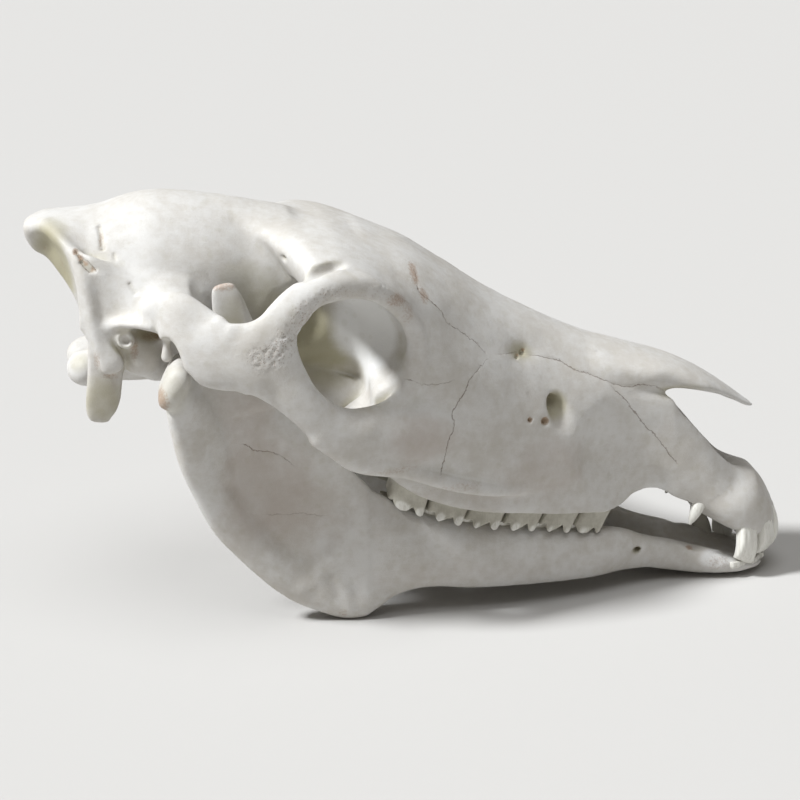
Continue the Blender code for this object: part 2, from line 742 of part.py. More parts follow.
def build_cranium(skull):
    cranium = central_loft("cranium", BRAINCASE, skull)
    for make, operation in (
        (main_bones, "UNION"),
        (main_hollows, "DIFFERENCE"),
        (arches_and_crests, "UNION"),
        (joint_and_face_hollows, "DIFFERENCE"),
        (ear_and_neck_bones, "UNION"),
        (passages, "DIFFERENCE"),
    ):
        pieces = helper_collection("pieces")
        make(pieces)
        combine(cranium, pieces, operation)
    organic(cranium, voxel=1.8, rounds=4, faces=8600)
    teeth = helper_collection("teeth")
    upper_teeth(teeth)
    combine(cranium, teeth, "UNION")
    keep_largest(cranium)
    return cranium


def floor_block(collection):
    """A block under the floor, which cuts small flats where the jaw rests."""
    bm = bmesh.new()
    bmesh.ops.create_cube(bm, size=1.0)
    bm.transform(Matrix.Translation((0, 0, FLOOR_CUT * MM - 0.5)))
    mesh = bpy.data.meshes.new("floor_block")
    bm.to_mesh(mesh)
    bm.free()
    return new_object("floor_block", mesh, collection)


def build_mandible(skull):
    mandible = central_loft("mandible", CHIN, skull)
    pieces, hollows, floor, teeth = (helper_collection(n) for n in ("bones", "hollows", "floor", "teeth"))
    jaw_pieces(pieces)
    combine(mandible, pieces, "UNION")
    ellipsoids({"masseter_hollow": MASSETER_HOLLOW}, hollows, {"chin_scoop": CHIN_SCOOP})
    combine(mandible, hollows, "DIFFERENCE")
    organic(mandible, voxel=1.8, rounds=4, faces=4800)
    lower_teeth(teeth)
    combine(mandible, teeth, "UNION")
    floor_block(floor)
    combine(mandible, floor, "DIFFERENCE")
    keep_largest(mandible)
    return mandible


def stand_on_origin(objects):
    """Moves the skull so that its box stands centred on the origin."""
    corners = np.array([v.co for obj in objects for v in obj.data.vertices])
    low, high = corners.min(axis=0), corners.max(axis=0)
    shift = Vector((-(low[0] + high[0]) / 2, -(low[1] + high[1]) / 2, -low[2]))
    for obj in objects:
        obj.data.transform(Matrix.Translation(shift))


def main():
    for obj in list(bpy.data.objects):
        bpy.data.objects.remove(obj)
    skull = helper_collection("zebra_skull")
    objects = [build_cranium(skull), build_mandible(skull)]
    stand_on_origin(objects)
    for obj in objects:
        obj.data.materials.clear()
        obj.data.materials.append(bone_material(obj.name + "_bone"))
        obj.data.shade_smooth()


main()
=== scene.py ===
"""Looks of a life-size zebra skull: its bones, teeth and dry finishes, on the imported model.

The bones are closed surfaces worked out in numpy: sections carried along X, plates, tubes along
paths and balls. A skull's walls run into each other round holes, which no grid of two parameters
can follow, so the surfaces of one bone mass are turned into a block of distances, melted together
there with rounded seams, and skinned again. Tables are in millimetres, meshes in metres.
"""

import json  # noqa: E402
import logging  # noqa: E402
import math  # noqa: E402
from dataclasses import dataclass, field  # noqa: E402
from enum import Enum  # noqa: E402
from typing import Sequence  # noqa: E402

import bpy  # noqa: E402
import numpy as np  # noqa: E402
import openvdb  # noqa: E402
from mathutils import Matrix, Vector  # noqa: E402

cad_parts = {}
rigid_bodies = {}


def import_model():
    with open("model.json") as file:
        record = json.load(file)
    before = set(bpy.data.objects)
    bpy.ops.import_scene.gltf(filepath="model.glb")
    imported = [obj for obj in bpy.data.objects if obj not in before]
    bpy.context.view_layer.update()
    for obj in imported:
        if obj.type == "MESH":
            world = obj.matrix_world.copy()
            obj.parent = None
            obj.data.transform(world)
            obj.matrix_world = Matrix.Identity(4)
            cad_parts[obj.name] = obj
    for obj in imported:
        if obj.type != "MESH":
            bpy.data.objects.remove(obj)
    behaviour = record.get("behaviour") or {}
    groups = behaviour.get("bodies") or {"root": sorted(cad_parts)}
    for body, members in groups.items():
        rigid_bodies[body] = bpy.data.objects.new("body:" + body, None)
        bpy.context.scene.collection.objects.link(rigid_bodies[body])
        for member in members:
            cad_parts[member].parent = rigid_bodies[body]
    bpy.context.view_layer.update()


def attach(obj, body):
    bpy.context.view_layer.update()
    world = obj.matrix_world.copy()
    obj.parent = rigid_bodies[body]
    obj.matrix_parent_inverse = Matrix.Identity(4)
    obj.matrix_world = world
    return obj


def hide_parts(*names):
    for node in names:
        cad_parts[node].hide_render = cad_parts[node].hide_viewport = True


LOG = logging.getLogger("zebra_skull")
Array = np.ndarray
Rows = Sequence[Sequence[float]]
Point = tuple[float, float, float]

MM = 0.001
TINY = 1e-9

# Stands for a distance that isn't known, and how far off a surface it always is, in millimetres.
FAR = 60.0
BAND = 14.0
# The edge of the cells that the bones are skinned from, and the most triangles of a bone.
CELL = 1.0
FACE_LIMIT = 190_000
# The way from the tables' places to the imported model's, in millimetres.
SHIFT = (0.35, 0.0, -0.8)

# How many points stand round a surface of each kind, and how many rings a ball has.
LOFT_ROUND = 64
PLATE_ROUND = 48
TUBE_ROUND = 40
BALL_ROUND = 40
BALL_RINGS = 25
# How far a ball's first and last rings stand from its poles, in radians.
POLE_GAP = 0.04
# The first and last ring of a tube's domed end, in radians along its arc, and their count.
DOME_ARC = (0.25, 1.45)
DOME_RINGS = 5

# Noise of the bones' relief: height, size and seed. The rough places, from the least roughness on,
# have pits and a grain of their own.
RELIEF = ((0.32, 21, 1), (0.14, 8, 2), (0.05, 3.1, 3))
ROUGH_PITS = (0.95, 3.0, 7)
ROUGH_GRAIN = (0.45, 2.1, 9)
ROUGH_LEAST = 0.03
# Keeps the noise's lattice above zero.
LATTICE_START = 500.0
# How far a pit strays from its lattice cell's middle and how wide it is, as shares of the edge.
PIT_STRAY = 0.42
PIT_REACH = 0.45

# A drawn line: steps between its points, how far off it is measured, how fast its ends fade, and
# how far off it a seam's strength stays whole.
LINE_STEPS = 4
LINE_REACH = 8.0
CUT_FADE = 12
SEAM_FADE = 10
SEAM_REACH = 3.5
CHANNELS = ("seam_a", "seam_b", "seam_c")

# How far off the surface the masks look, in millimetres, and the shares of bone where the hollow
# mask starts and by which it grows to 1. The hollow and crease masks lay painted shade on the bone.
HOLLOW_LOOK = 9
HOLLOW_START = 0.22
HOLLOW_GROWTH = 0.45
CREASE_LOOK = 3.5
EDGE_LOOK = 3
# The crowding is read at every third cell and averaged over these distances in turn.
COARSE = 3
CROWD_STEPS = (1, 2, 1, 2)


class Side(Enum):
    """The animal's sides. The camera stands on the right one."""

    RIGHT = -1
    LEFT = 1


# Surfaces


@dataclass(frozen=True)
class Skin:
    """A closed surface: points in millimetres, four-sided faces and the end fans' triangles."""

    points: Array
    quads: Array
    fans: Array


def flowing(table: Rows, steps: int = 6) -> Array:
    """Carries a table's rows along a Catmull-Rom curve.

    Between rows b and c, with neighbours a and d, a value is half of
    2b + (c - a)t + (2a - 5b + 4c - d)t^2 + (3b - a - 3c + d)t^3.

    Args:
        table: Rows of numbers.
        steps: How many rows each span becomes.

    Returns:
        The denser rows, the last one among them.
    """
    rows = np.asarray(table, float)
    padded = np.vstack([2 * rows[0] - rows[1], rows, 2 * rows[-1] - rows[-2]])
    t = (np.arange(steps) / steps)[None, :, None]
    a, b, c, d = padded[:-3, None], padded[1:-2, None], padded[2:-1, None], padded[3:, None]
    spans = 0.5 * (2 * b + (c - a) * t + (2 * a - 5 * b + 4 * c - d) * t**2 + (3 * b - a - 3 * c + d) * t**3)
    return np.vstack([spans.reshape(-1, rows.shape[1]), rows[-1:]])


def rounded(angle: Array, power: Array | float) -> tuple[Array, Array]:
    """Points round a unit superellipse: sign(cos a)|cos a|^(2/p) across and the same of sin a up.

    Args:
        angle: Angles in radians.
        power: Squareness p, 2 for an ellipse and more for a fuller corner.

    Returns:
        The shares across and up.
    """
    c, s = np.cos(angle), np.sin(angle)
    return np.sign(c) * np.abs(c) ** (2.0 / power), np.sign(s) * np.abs(s) ** (2.0 / power)


def skin_of(rings: Array) -> Skin:
    """Closes a grid of rings into a skin, with a pole at the middle of each end ring.

    Args:
        rings: Points as (ring, round, xyz).

    Returns:
        The closed skin.
    """
    count, around, _ = rings.shape
    points = np.vstack([rings.reshape(-1, 3), rings[0].mean(axis=0), rings[-1].mean(axis=0)])
    i = (np.arange(count - 1) * around)[:, None]
    j = np.arange(around)[None, :]
    k = (j + 1) % around
    quads = np.stack([i + j, i + k, i + around + k, i + around + j], axis=-1).reshape(-1, 4)
    j, k, last = j[0], k[0], (count - 1) * around
    first_pole = np.full(around, count * around)
    first_end = np.column_stack([k, j, first_pole])
    last_end = np.column_stack([last + j, last + k, first_pole + 1])
    return Skin(points, quads, np.vstack([first_end, last_end]))


@dataclass(frozen=True)
class Shape:
    """A closed surface that is melted into others.

    Attributes:
        melt: Reach in millimetres of the rounded seam where it meets what is there.
    """

    melt: float = 6.0

    def skin(self, side: Side) -> Skin:
        """Works out the surface on one side of the animal.

        Args:
            side: The side, which a shape on the midline doesn't read.

        Returns:
            The skin.
        """
        raise NotImplementedError


@dataclass(frozen=True)
class Loft(Shape):
    """Sections across X on the midline, each an upper and a lower half superellipse.

    Attributes:
        rows: x, top, height of the widest place, bottom, half width, squareness up and down.
    """

    rows: Rows = ()

    def skin(self, side: Side) -> Skin:
        """At (x, a) the point is half(x) times the superellipse's share across, and its share up
        times the height from the widest place to the top or to the bottom.

        Args:
            side: The side that it stands on, which a shape on the midline doesn't read.

        Returns:
            The skin.
        """
        x, top, wide, low, half, up_power, low_power = flowing(self.rows).T[:, :, None]
        angle = np.linspace(0, 2 * math.pi, LOFT_ROUND, endpoint=False)[None, :]
        upper = np.sin(angle) > 0
        across, up = rounded(angle, np.where(upper, up_power, low_power))
        z = wide + up * np.where(upper, top - wide, wide - low)
        return skin_of(np.stack([x + 0 * z, across * half, z], axis=-1))


@dataclass(frozen=True)
class Plate(Shape):
    """A side wall whose sections across X run from a lower edge to an upper edge.

    Attributes:
        rows: x, lower edge's y and z, upper edge's y and z, half thickness.
        power: Squareness of the section.
    """

    rows: Rows = ()
    power: float = 2.6

    def skin(self, side: Side) -> Skin:
        """At (x, a) the point is the middle of the two edges, plus the share up times half of the
        way between them, plus the share across times the half thickness.

        Args:
            side: The side that it stands on, which a shape on the midline doesn't read.

        Returns:
            The skin.
        """
        x, y_low, z_low, y_high, z_high, half = flowing(self.rows).T[:, :, None]
        angle = np.linspace(0, 2 * math.pi, PLATE_ROUND, endpoint=False)[None, :]
        across, up = rounded(angle, self.power)
        y = (y_low + y_high) / 2 + up * (y_high - y_low) / 2 + across * half
        z = (z_low + z_high) / 2 + up * (z_high - z_low) / 2
        return skin_of(np.stack([x + 0 * z, y * side.value, z], axis=-1))


@dataclass(frozen=True)
class Tube(Shape):
    """A section carried along a path, with domed ends.

    Attributes:
        rows: x, y, z, half size along the hint and half size across it.
        hint: The direction that the first half size is turned to.
        power: Squareness of the section.
    """

    rows: Rows = ()
    hint: Point = (0.0, 1.0, 0.0)
    power: float = 2.2

    def skin(self, side: Side) -> Skin:
        """At (t, a) the point is the path's place at t, plus the share across times the first half
        size along the hint less its part along the path, plus the share up times the second half
        size along the cross product of the two. Past each end the section shrinks on an arc.

        Args:
            side: The side that it stands on, which a shape on the midline doesn't read.

        Returns:
            The skin.
        """
        rows = flowing(self.rows)
        path = rows[:, :3] * (1, side.value, 1)
        way = np.gradient(path, axis=0)
        way /= np.linalg.norm(way, axis=1, keepdims=True)
        turn = np.linspace(*DOME_ARC, DOME_RINGS)
        reach = rows[[0, -1], 3:].min(axis=1)
        before = path[0] - way[0] * reach[0] * np.sin(turn[::-1])[:, None]
        after = path[-1] + way[-1] * reach[1] * np.sin(turn)[:, None]
        path = np.vstack([before, path, after])
        first, last = (np.repeat(end, DOME_RINGS, axis=0) for end in (way[:1], way[-1:]))
        way = np.vstack([first, way, last])
        closing = np.cos(turn)[:, None]
        sizes = np.vstack([rows[0, 3:] * closing[::-1], rows[:, 3:], rows[-1, 3:] * closing])
        hint = np.array(self.hint, float) * (1, side.value, 1)
        thick = hint - (way @ hint)[:, None] * way
        thick /= np.linalg.norm(thick, axis=1, keepdims=True)
        tall = np.cross(way, thick)
        across, up = rounded(np.linspace(0, 2 * math.pi, TUBE_ROUND, endpoint=False), self.power)
        rings = (
            path[:, None]
            + across[None, :, None] * (thick * sizes[:, :1])[:, None]
            + up[None, :, None] * (tall * sizes[:, 1:])[:, None]
        )
        return skin_of(rings)


@dataclass(frozen=True)
class Ball(Shape):
    """An ellipsoid.

    Attributes:
        centre: Its middle.
        sizes: Half sizes along X, Y and Z before it is turned.
        turn: Degrees about X, then Y, then Z, as seen on the left side.
        paired: Whether it stands on a side; one on the midline doesn't.
    """

    centre: Point = (0.0, 0.0, 0.0)
    sizes: Point = (1.0, 1.0, 1.0)
    turn: Point = (0.0, 0.0, 0.0)
    paired: bool = True

    def skin(self, side: Side) -> Skin:
        """At (u, a) the point is (cos u, sin u cos a, sin u sin a) times the half sizes, turned
        and then moved to the centre.

        Args:
            side: The side that it stands on, which a shape on the midline doesn't read.

        Returns:
            The skin.
        """
        u = np.linspace(POLE_GAP, math.pi - POLE_GAP, BALL_RINGS)[:, None]
        a = np.linspace(0, 2 * math.pi, BALL_ROUND, endpoint=False)[None, :]
        unit = np.stack([np.cos(u) + 0 * a, np.sin(u) * np.cos(a), np.sin(u) * np.sin(a)], axis=-1)
        turning = Matrix.Identity(3)
        for axis, degrees in zip("XYZ", self.turn):
            turning = Matrix.Rotation(math.radians(degrees), 3, axis) @ turning
        points = unit * self.sizes @ np.array(turning).T + self.centre
        mirror = (1, side.value if self.paired else 1, 1)
        return skin_of(points * mirror)


# Melting


def read_between(block: Array, at: Array) -> Array:
    """Reads a block between its cells: the eight cells round a place, each weighted by nearness.

    Args:
        block: The numbers in the cells.
        at: Places, in cells from the block's first one.

    Returns:
        One number for each place.
    """
    at = np.clip(at, 0, np.array(block.shape) - 1.001)
    low = at.astype(int)
    share = at - low
    total = np.zeros(len(at))
    for corner in np.ndindex(2, 2, 2):
        i, j, k = (low + corner).T
        total += np.prod(np.where(np.array(corner) == 1, share, 1 - share), axis=1) * block[i, j, k]
    return total


@dataclass
class Clay:
    """A block of signed distances to a bone mass's surface, below zero inside it.

    It holds the right half and a little past the midline; the left half is its mirror image.

    Attributes:
        low: The block's lowest corner, in millimetres.
        high: The block's highest corner.
        cell: The cells' edge.
        start: Number of the first cell along each axis, counted from the origin.
        block: The distances.
    """

    low: Point
    high: Point
    cell: float
    start: Array = field(init=False)
    block: Array = field(init=False)

    def __post_init__(self) -> None:
        """Fills the block with a far distance."""
        self.start = np.floor(np.array(self.low) / self.cell).astype(int)
        end = np.ceil(np.array(self.high) / self.cell).astype(int)
        self.block = np.full(end - self.start + 1, FAR, np.float32)

    def _meet(self, shape: Shape, sides: Sequence[Side], sign: float) -> None:
        """Melts a shape into the block, or out of it.

        The smooth least value of distances a and b with reach k is min(a, b) - h^2 k / 4, where
        h is how far |a - b| falls short of k, as a share of k. Carving does the same to -a and b.
        Each shape's own distance is worked out at least BAND millimetres off its surface, so that
        a later shape with a longer reach melts in without a crease.

        Args:
            shape: What to melt.
            sides: The sides that it stands on.
            sign: 1 to add, -1 to carve.
        """
        reach = max(shape.melt, 3 * self.cell)
        known = max(reach, BAND)
        for side in sides:
            skin = shape.skin(side)
            grid = openvdb.FloatGrid.createLevelSetFromPolygons(
                skin.points.astype(np.float32),
                triangles=skin.fans.astype(np.uint32),
                quads=skin.quads.astype(np.uint32),
                transform=openvdb.createLinearTransform(voxelSize=self.cell),
                halfWidth=known / self.cell + 1.5,
            )
            box = np.array(grid.evalActiveVoxelBoundingBox())
            first = np.maximum(box[0], self.start)
            last = np.minimum(box[1] + 1, self.start + self.block.shape)
            if (last <= first).any():
                continue
            other = np.empty(last - first, np.float32)
            grid.copyToArray(other, ijk=tuple(int(v) for v in first))
            place = tuple(slice(a, b) for a, b in zip(first - self.start, last - self.start))
            here = self.block[place] * sign
            gap = np.maximum(reach - np.abs(here - other), 0) / reach
            self.block[place] = (np.minimum(here, other) - gap * gap * reach / 4) * sign

    def add(self, *shapes: Shape, sides: Sequence[Side] = (Side.RIGHT,)) -> None:
        """Adds shapes with rounded seams."""
        for shape in shapes:
            self._meet(shape, sides, 1.0)

    def carve(self, *shapes: Shape, sides: Sequence[Side] = (Side.RIGHT,)) -> None:
        """Carves shapes out with rounded rims."""
        for shape in shapes:
            self._meet(shape, sides, -1.0)

    def soften(self) -> None:
        """Averages each distance with its neighbours', weighted 1, 2, 1, along each axis."""
        for axis in range(3):
            a = np.moveaxis(self.block, axis, 0)
            a[1:-1] = (a[:-2] + 2 * a[1:-1] + a[2:]) / 4

    def mirrored(self) -> tuple[Array, Array]:
        """Joins the right half to its mirror image.

        Returns:
            The whole block and the index of its first cell.
        """
        middle = -self.start[1]
        half = self.block[:, : middle + 1]
        whole = np.concatenate([half, half[:, :-1][:, ::-1]], axis=1)
        return np.ascontiguousarray(whole), self.start

    def skinned(self) -> tuple[Array, Array]:
        """Skins the mirrored block where its distance is zero.

        Returns:
            Points in millimetres and four-sided faces that point outwards.
        """
        whole, start = self.mirrored()
        grid = openvdb.FloatGrid(3 * self.cell)
        grid.copyFromArray(np.clip(whole, -3 * self.cell, 3 * self.cell), ijk=tuple(int(v) for v in start))
        grid.transform = openvdb.createLinearTransform(voxelSize=self.cell)
        points, triangles, quads = grid.convertToPolygons(isovalue=0.0, adaptivity=0.0)
        points, quads = points.astype(float), quads.astype(np.int64)
        a, b, c, d = (points[quads[:, i]] for i in range(4))
        volume = np.einsum("ij,ij->", a, np.cross(b, c)) + np.einsum("ij,ij->", a, np.cross(c, d))
        return points, quads if volume > 0 else quads[:, ::-1]

    def _cells(self, points: Array) -> Array:
        """Turns points on either side into places on the right one, in cells from the first.

        Args:
            points: Places in millimetres.

        Returns:
            The places in cells.
        """
        at = points / self.cell
        at[:, 1] = -np.abs(at[:, 1])
        return at - self.start

    def sample(self, points: Array) -> Array:
        """Reads the distance at points.

        Args:
            points: Places in millimetres, on either side.

        Returns:
            One distance for each.
        """
        return read_between(self.block, self._cells(points))

    def crowding(self, points: Array) -> Array:
        """Tells how much bone stands round points: the share of bone in a soft ball 30 mm wide.

        The block is read at every third cell as 1 in bone and 0 out of it. It is averaged along
        each axis, weighted 1, 2, 1, with the neighbours one and two cells off, twice each.

        Args:
            points: Places in millimetres, on either side.

        Returns:
            Shares from 0 to 1.
        """
        coarse = (self.block[::COARSE, ::COARSE, ::COARSE] < 0).astype(np.float32)
        for step in CROWD_STEPS:
            for axis in range(3):
                a = np.moveaxis(coarse, axis, 0)
                a[step:-step] = (a[: -2 * step] + 2 * a[step:-step] + a[2 * step :]) / 4
        return read_between(coarse, self._cells(points) / COARSE)


def put_in_mesh(name: str, points: Array, quads: Array, triangles: Array | None = None) -> bpy.types.Object:
    """Makes a smooth-shaded object of points and faces.

    Args:
        name: The piece's name.
        points: Points in millimetres.
        quads: Four-sided faces.
        triangles: Three-sided faces, if there are any.

    Returns:
        The object, at the origin.
    """
    triangles = np.empty((0, 3), int) if triangles is None else triangles
    mesh = bpy.data.meshes.new(name)
    mesh.vertices.add(len(points))
    mesh.vertices.foreach_set("co", (points * MM).astype(np.float32).ravel())
    corners = np.concatenate([quads.ravel(), triangles.ravel()]).astype(np.int32)
    counts = np.concatenate([np.full(len(quads), 4), np.full(len(triangles), 3)]).astype(np.int32)
    mesh.loops.add(len(corners))
    mesh.loops.foreach_set("vertex_index", corners)
    mesh.polygons.add(len(counts))
    mesh.polygons.foreach_set("loop_start", (np.cumsum(counts) - counts).astype(np.int32))
    mesh.update(calc_edges=True)
    mesh.validate()
    mesh.shade_smooth()
    made = bpy.data.objects.new(name, mesh)
    bpy.context.scene.collection.objects.link(made)
    return made


def thinned(piece: bpy.types.Object, limit: int) -> None:
    """Brings a piece under a number of triangles, the fewest where it is flattest.

    Args:
        piece: The piece, whose mesh is replaced.
        limit: The most triangles that it may have.
    """
    modifier = piece.modifiers.new("Thin", "DECIMATE")
    modifier.ratio = min(1.0, limit / (2 * len(piece.data.polygons)))
    modifier.use_collapse_triangulate = True
    bpy.context.view_layer.update()
    mesh = bpy.data.meshes.new_from_object(piece.evaluated_get(bpy.context.evaluated_depsgraph_get()))
    piece.modifiers.clear()
    piece.data = mesh
    mesh.shade_smooth()


def points_of(piece: bpy.types.Object) -> Array:
    """Reads a mesh's points, in millimetres.

    Args:
        piece: The piece.

    Returns:
        One row for each point.
    """
    flat = np.empty(len(piece.data.vertices) * 3, np.float32)
    piece.data.vertices.foreach_get("co", flat)
    return flat.reshape(-1, 3).astype(float) / MM


def outward(piece: bpy.types.Object) -> Array:
    """Reads a mesh's point normals.

    Args:
        piece: The piece.

    Returns:
        One row for each point.
    """
    flat = np.empty(len(piece.data.vertices) * 3, np.float32)
    piece.data.vertex_normals.foreach_get("vector", flat)
    return flat.reshape(-1, 3).astype(float)


# Relief and masks


def lattice_value(corner: Array, seed: int) -> Array:
    """Mixes a number for each lattice corner from its whole numbers and the seed.

    Args:
        corner: The corners, one row each.
        seed: Which noise.

    Returns:
        Numbers from -1 to 1.
    """
    i, j, k = corner.T
    mixed = (i * 73856093) ^ (j * 19349663) ^ (k * 83492791) ^ (seed * 265443577)
    mixed = (mixed ^ (mixed >> 13)) * 1274126177
    return ((mixed ^ (mixed >> 16)) & 0xFFFF) / 32767.5 - 1


def bumps(points: Array, size: float, seed: int) -> Array:
    """Smooth noise: lattice values blended along each axis by 3t^2 - 2t^3.

    Args:
        points: Places in millimetres.
        size: The lattice's edge.
        seed: Which noise.

    Returns:
        Values from -1 to 1.
    """
    at = points / size + LATTICE_START
    low = np.floor(at).astype(np.int64)
    t = at - low
    t = t * t * (3 - 2 * t)
    total = np.zeros(len(points))
    for corner in np.ndindex(2, 2, 2):
        weight = np.prod(np.where(np.array(corner) == 1, t, 1 - t), axis=1)
        total += weight * lattice_value(low + corner, seed)
    return total


def pits(points: Array, size: float, seed: int) -> Array:
    """Round pits: 1 at a random point of each lattice cell, falling to 0 at PIT_REACH of its edge.

    Args:
        points: Places in millimetres.
        size: The lattice's edge.
        seed: Which pits.

    Returns:
        Values from 0 to 1.
    """
    at = points / size + LATTICE_START
    low = np.floor(at).astype(np.int64)
    nearest = np.full(len(points), FAR)
    for corner in np.ndindex(3, 3, 3):
        cell = low + corner - 1
        strays = [lattice_value(cell, seed + n) * PIT_STRAY + 0.5 for n in range(3)]
        away = [stray + cell[:, n] - at[:, n] for n, stray in enumerate(strays)]
        nearest = np.minimum(nearest, np.sqrt(sum(a * a for a in away)))
    return np.clip(1 - nearest / PIT_REACH, 0, 1)


@dataclass(frozen=True)
class Line:
    """A seam, crack, slit or ridge drawn on a bone.

    Attributes:
        channel: The mask that carries it to the material, or none.
        points: Its points on the right side, in millimetres.
        depth: How deep it is cut, below zero for a ridge.
        width: Half width of the cut.
        strength: How dark it is drawn.
    """

    channel: str
    points: Rows
    depth: float = 0.25
    width: float = 0.8
    strength: float = 1.0

    def measure(self, places: Array, normals: Array) -> tuple[Array, Array]:
        """Measures places from the line.

        The sign is that of the way across the line: the cross product of the line's direction and
        the surface's normal, times the way to the place.

        Args:
            places: Points in millimetres.
            normals: Their normals.

        Returns:
            Signed distances, FAR where they are large, and the share of the line's length.
        """
        line = flowing(self.points, LINE_STEPS)
        right = places.copy()
        flip = np.where(places[:, 1] > 0, -1.0, 1.0)
        right[:, 1] *= flip
        facing = normals.copy()
        facing[:, 1] *= flip
        signed = np.full(len(places), FAR)
        share = np.zeros(len(places))
        low, high = line.min(axis=0) - LINE_REACH, line.max(axis=0) + LINE_REACH
        near = ((right > low) & (right < high)).all(axis=1)
        p, n = right[near], facing[near]
        best, sign, part = np.full(len(p), FAR), np.ones(len(p)), np.zeros(len(p))
        count = len(line) - 1
        for number, (a, b) in enumerate(zip(line[:-1], line[1:])):
            ab = b - a
            t = np.clip((p - a) @ ab / max(ab @ ab, TINY), 0, 1)
            off = p - (a + t[:, None] * ab)
            away = np.linalg.norm(off, axis=1)
            closer = away < best
            best = np.where(closer, away, best)
            sign = np.where(closer, np.sign(np.einsum("ij,ij->i", np.cross(ab, n), off) + TINY), sign)
            part = np.where(closer, (number + t) / count, part)
        signed[near] = best * sign
        share[near] = part
        return signed, share

    def cut(self, places: Array, normals: Array) -> Array:
        """How far the surface goes in: depth times exp(-(distance / width)^2), faded at the ends.

        Args:
            places: Points in millimetres.
            normals: Their normals.

        Returns:
            The cut's depths.
        """
        signed, share = self.measure(places, normals)
        fade = np.clip(CUT_FADE * share * (1 - share), 0, 1)
        return self.depth * np.exp(-((signed / self.width) ** 2)) * fade


class Mark(Enum):
    """What a patch does to the bone's look. The value is the mask's name."""

    # Olive painted shade, laid where the bone lies in shade; the value names its mask.
    PAINTED_SHADE = "painted_shade"
    RUST = "rust"
    ROSE = "rose"
    # Pale painted light where the bone is lit, such as the sunlit patch inside the orbit, and also real
    # bleached places.
    BLEACH = "bleach"
    ROUGH = "rough"


@dataclass(frozen=True)
class Patch:
    """A soft round patch of a mark: amount times exp(-q^4), with q the distance in half sizes."""

    mark: Mark
    centre: Point
    sizes: Point
    amount: float = 1.0

    def value(self, places: Array) -> Array:
        """The patch's value at places, on either side.

        Args:
            places: Points in millimetres.

        Returns:
            Values from 0 to the amount.
        """
        right = np.column_stack([places[:, 0], -np.abs(places[:, 1]), places[:, 2]])
        q = (((right - self.centre) / self.sizes) ** 2).sum(axis=1)
        return self.amount * np.exp(-np.minimum(q, 20) ** 2)


def masked(patches: Sequence[Patch], mark: Mark, places: Array) -> Array:
    """Joins the patches of one mark: 1 less the product of what each leaves.

    Args:
        patches: The patches.
        mark: The mark.
        places: Points in millimetres.

    Returns:
        The mark's mask.
    """
    left = np.ones(len(places))
    for patch in patches:
        if patch.mark is mark:
            left *= 1 - np.clip(patch.value(places), 0, 1)
    return 1 - left


def paint(piece: bpy.types.Object, name: str, values: Array) -> None:
    """Stores one number at each of a mesh's points, under a name that its material reads."""
    stored = piece.data.attributes.new(name, "FLOAT", "POINT")
    stored.data.foreach_set("value", values.astype(np.float32))


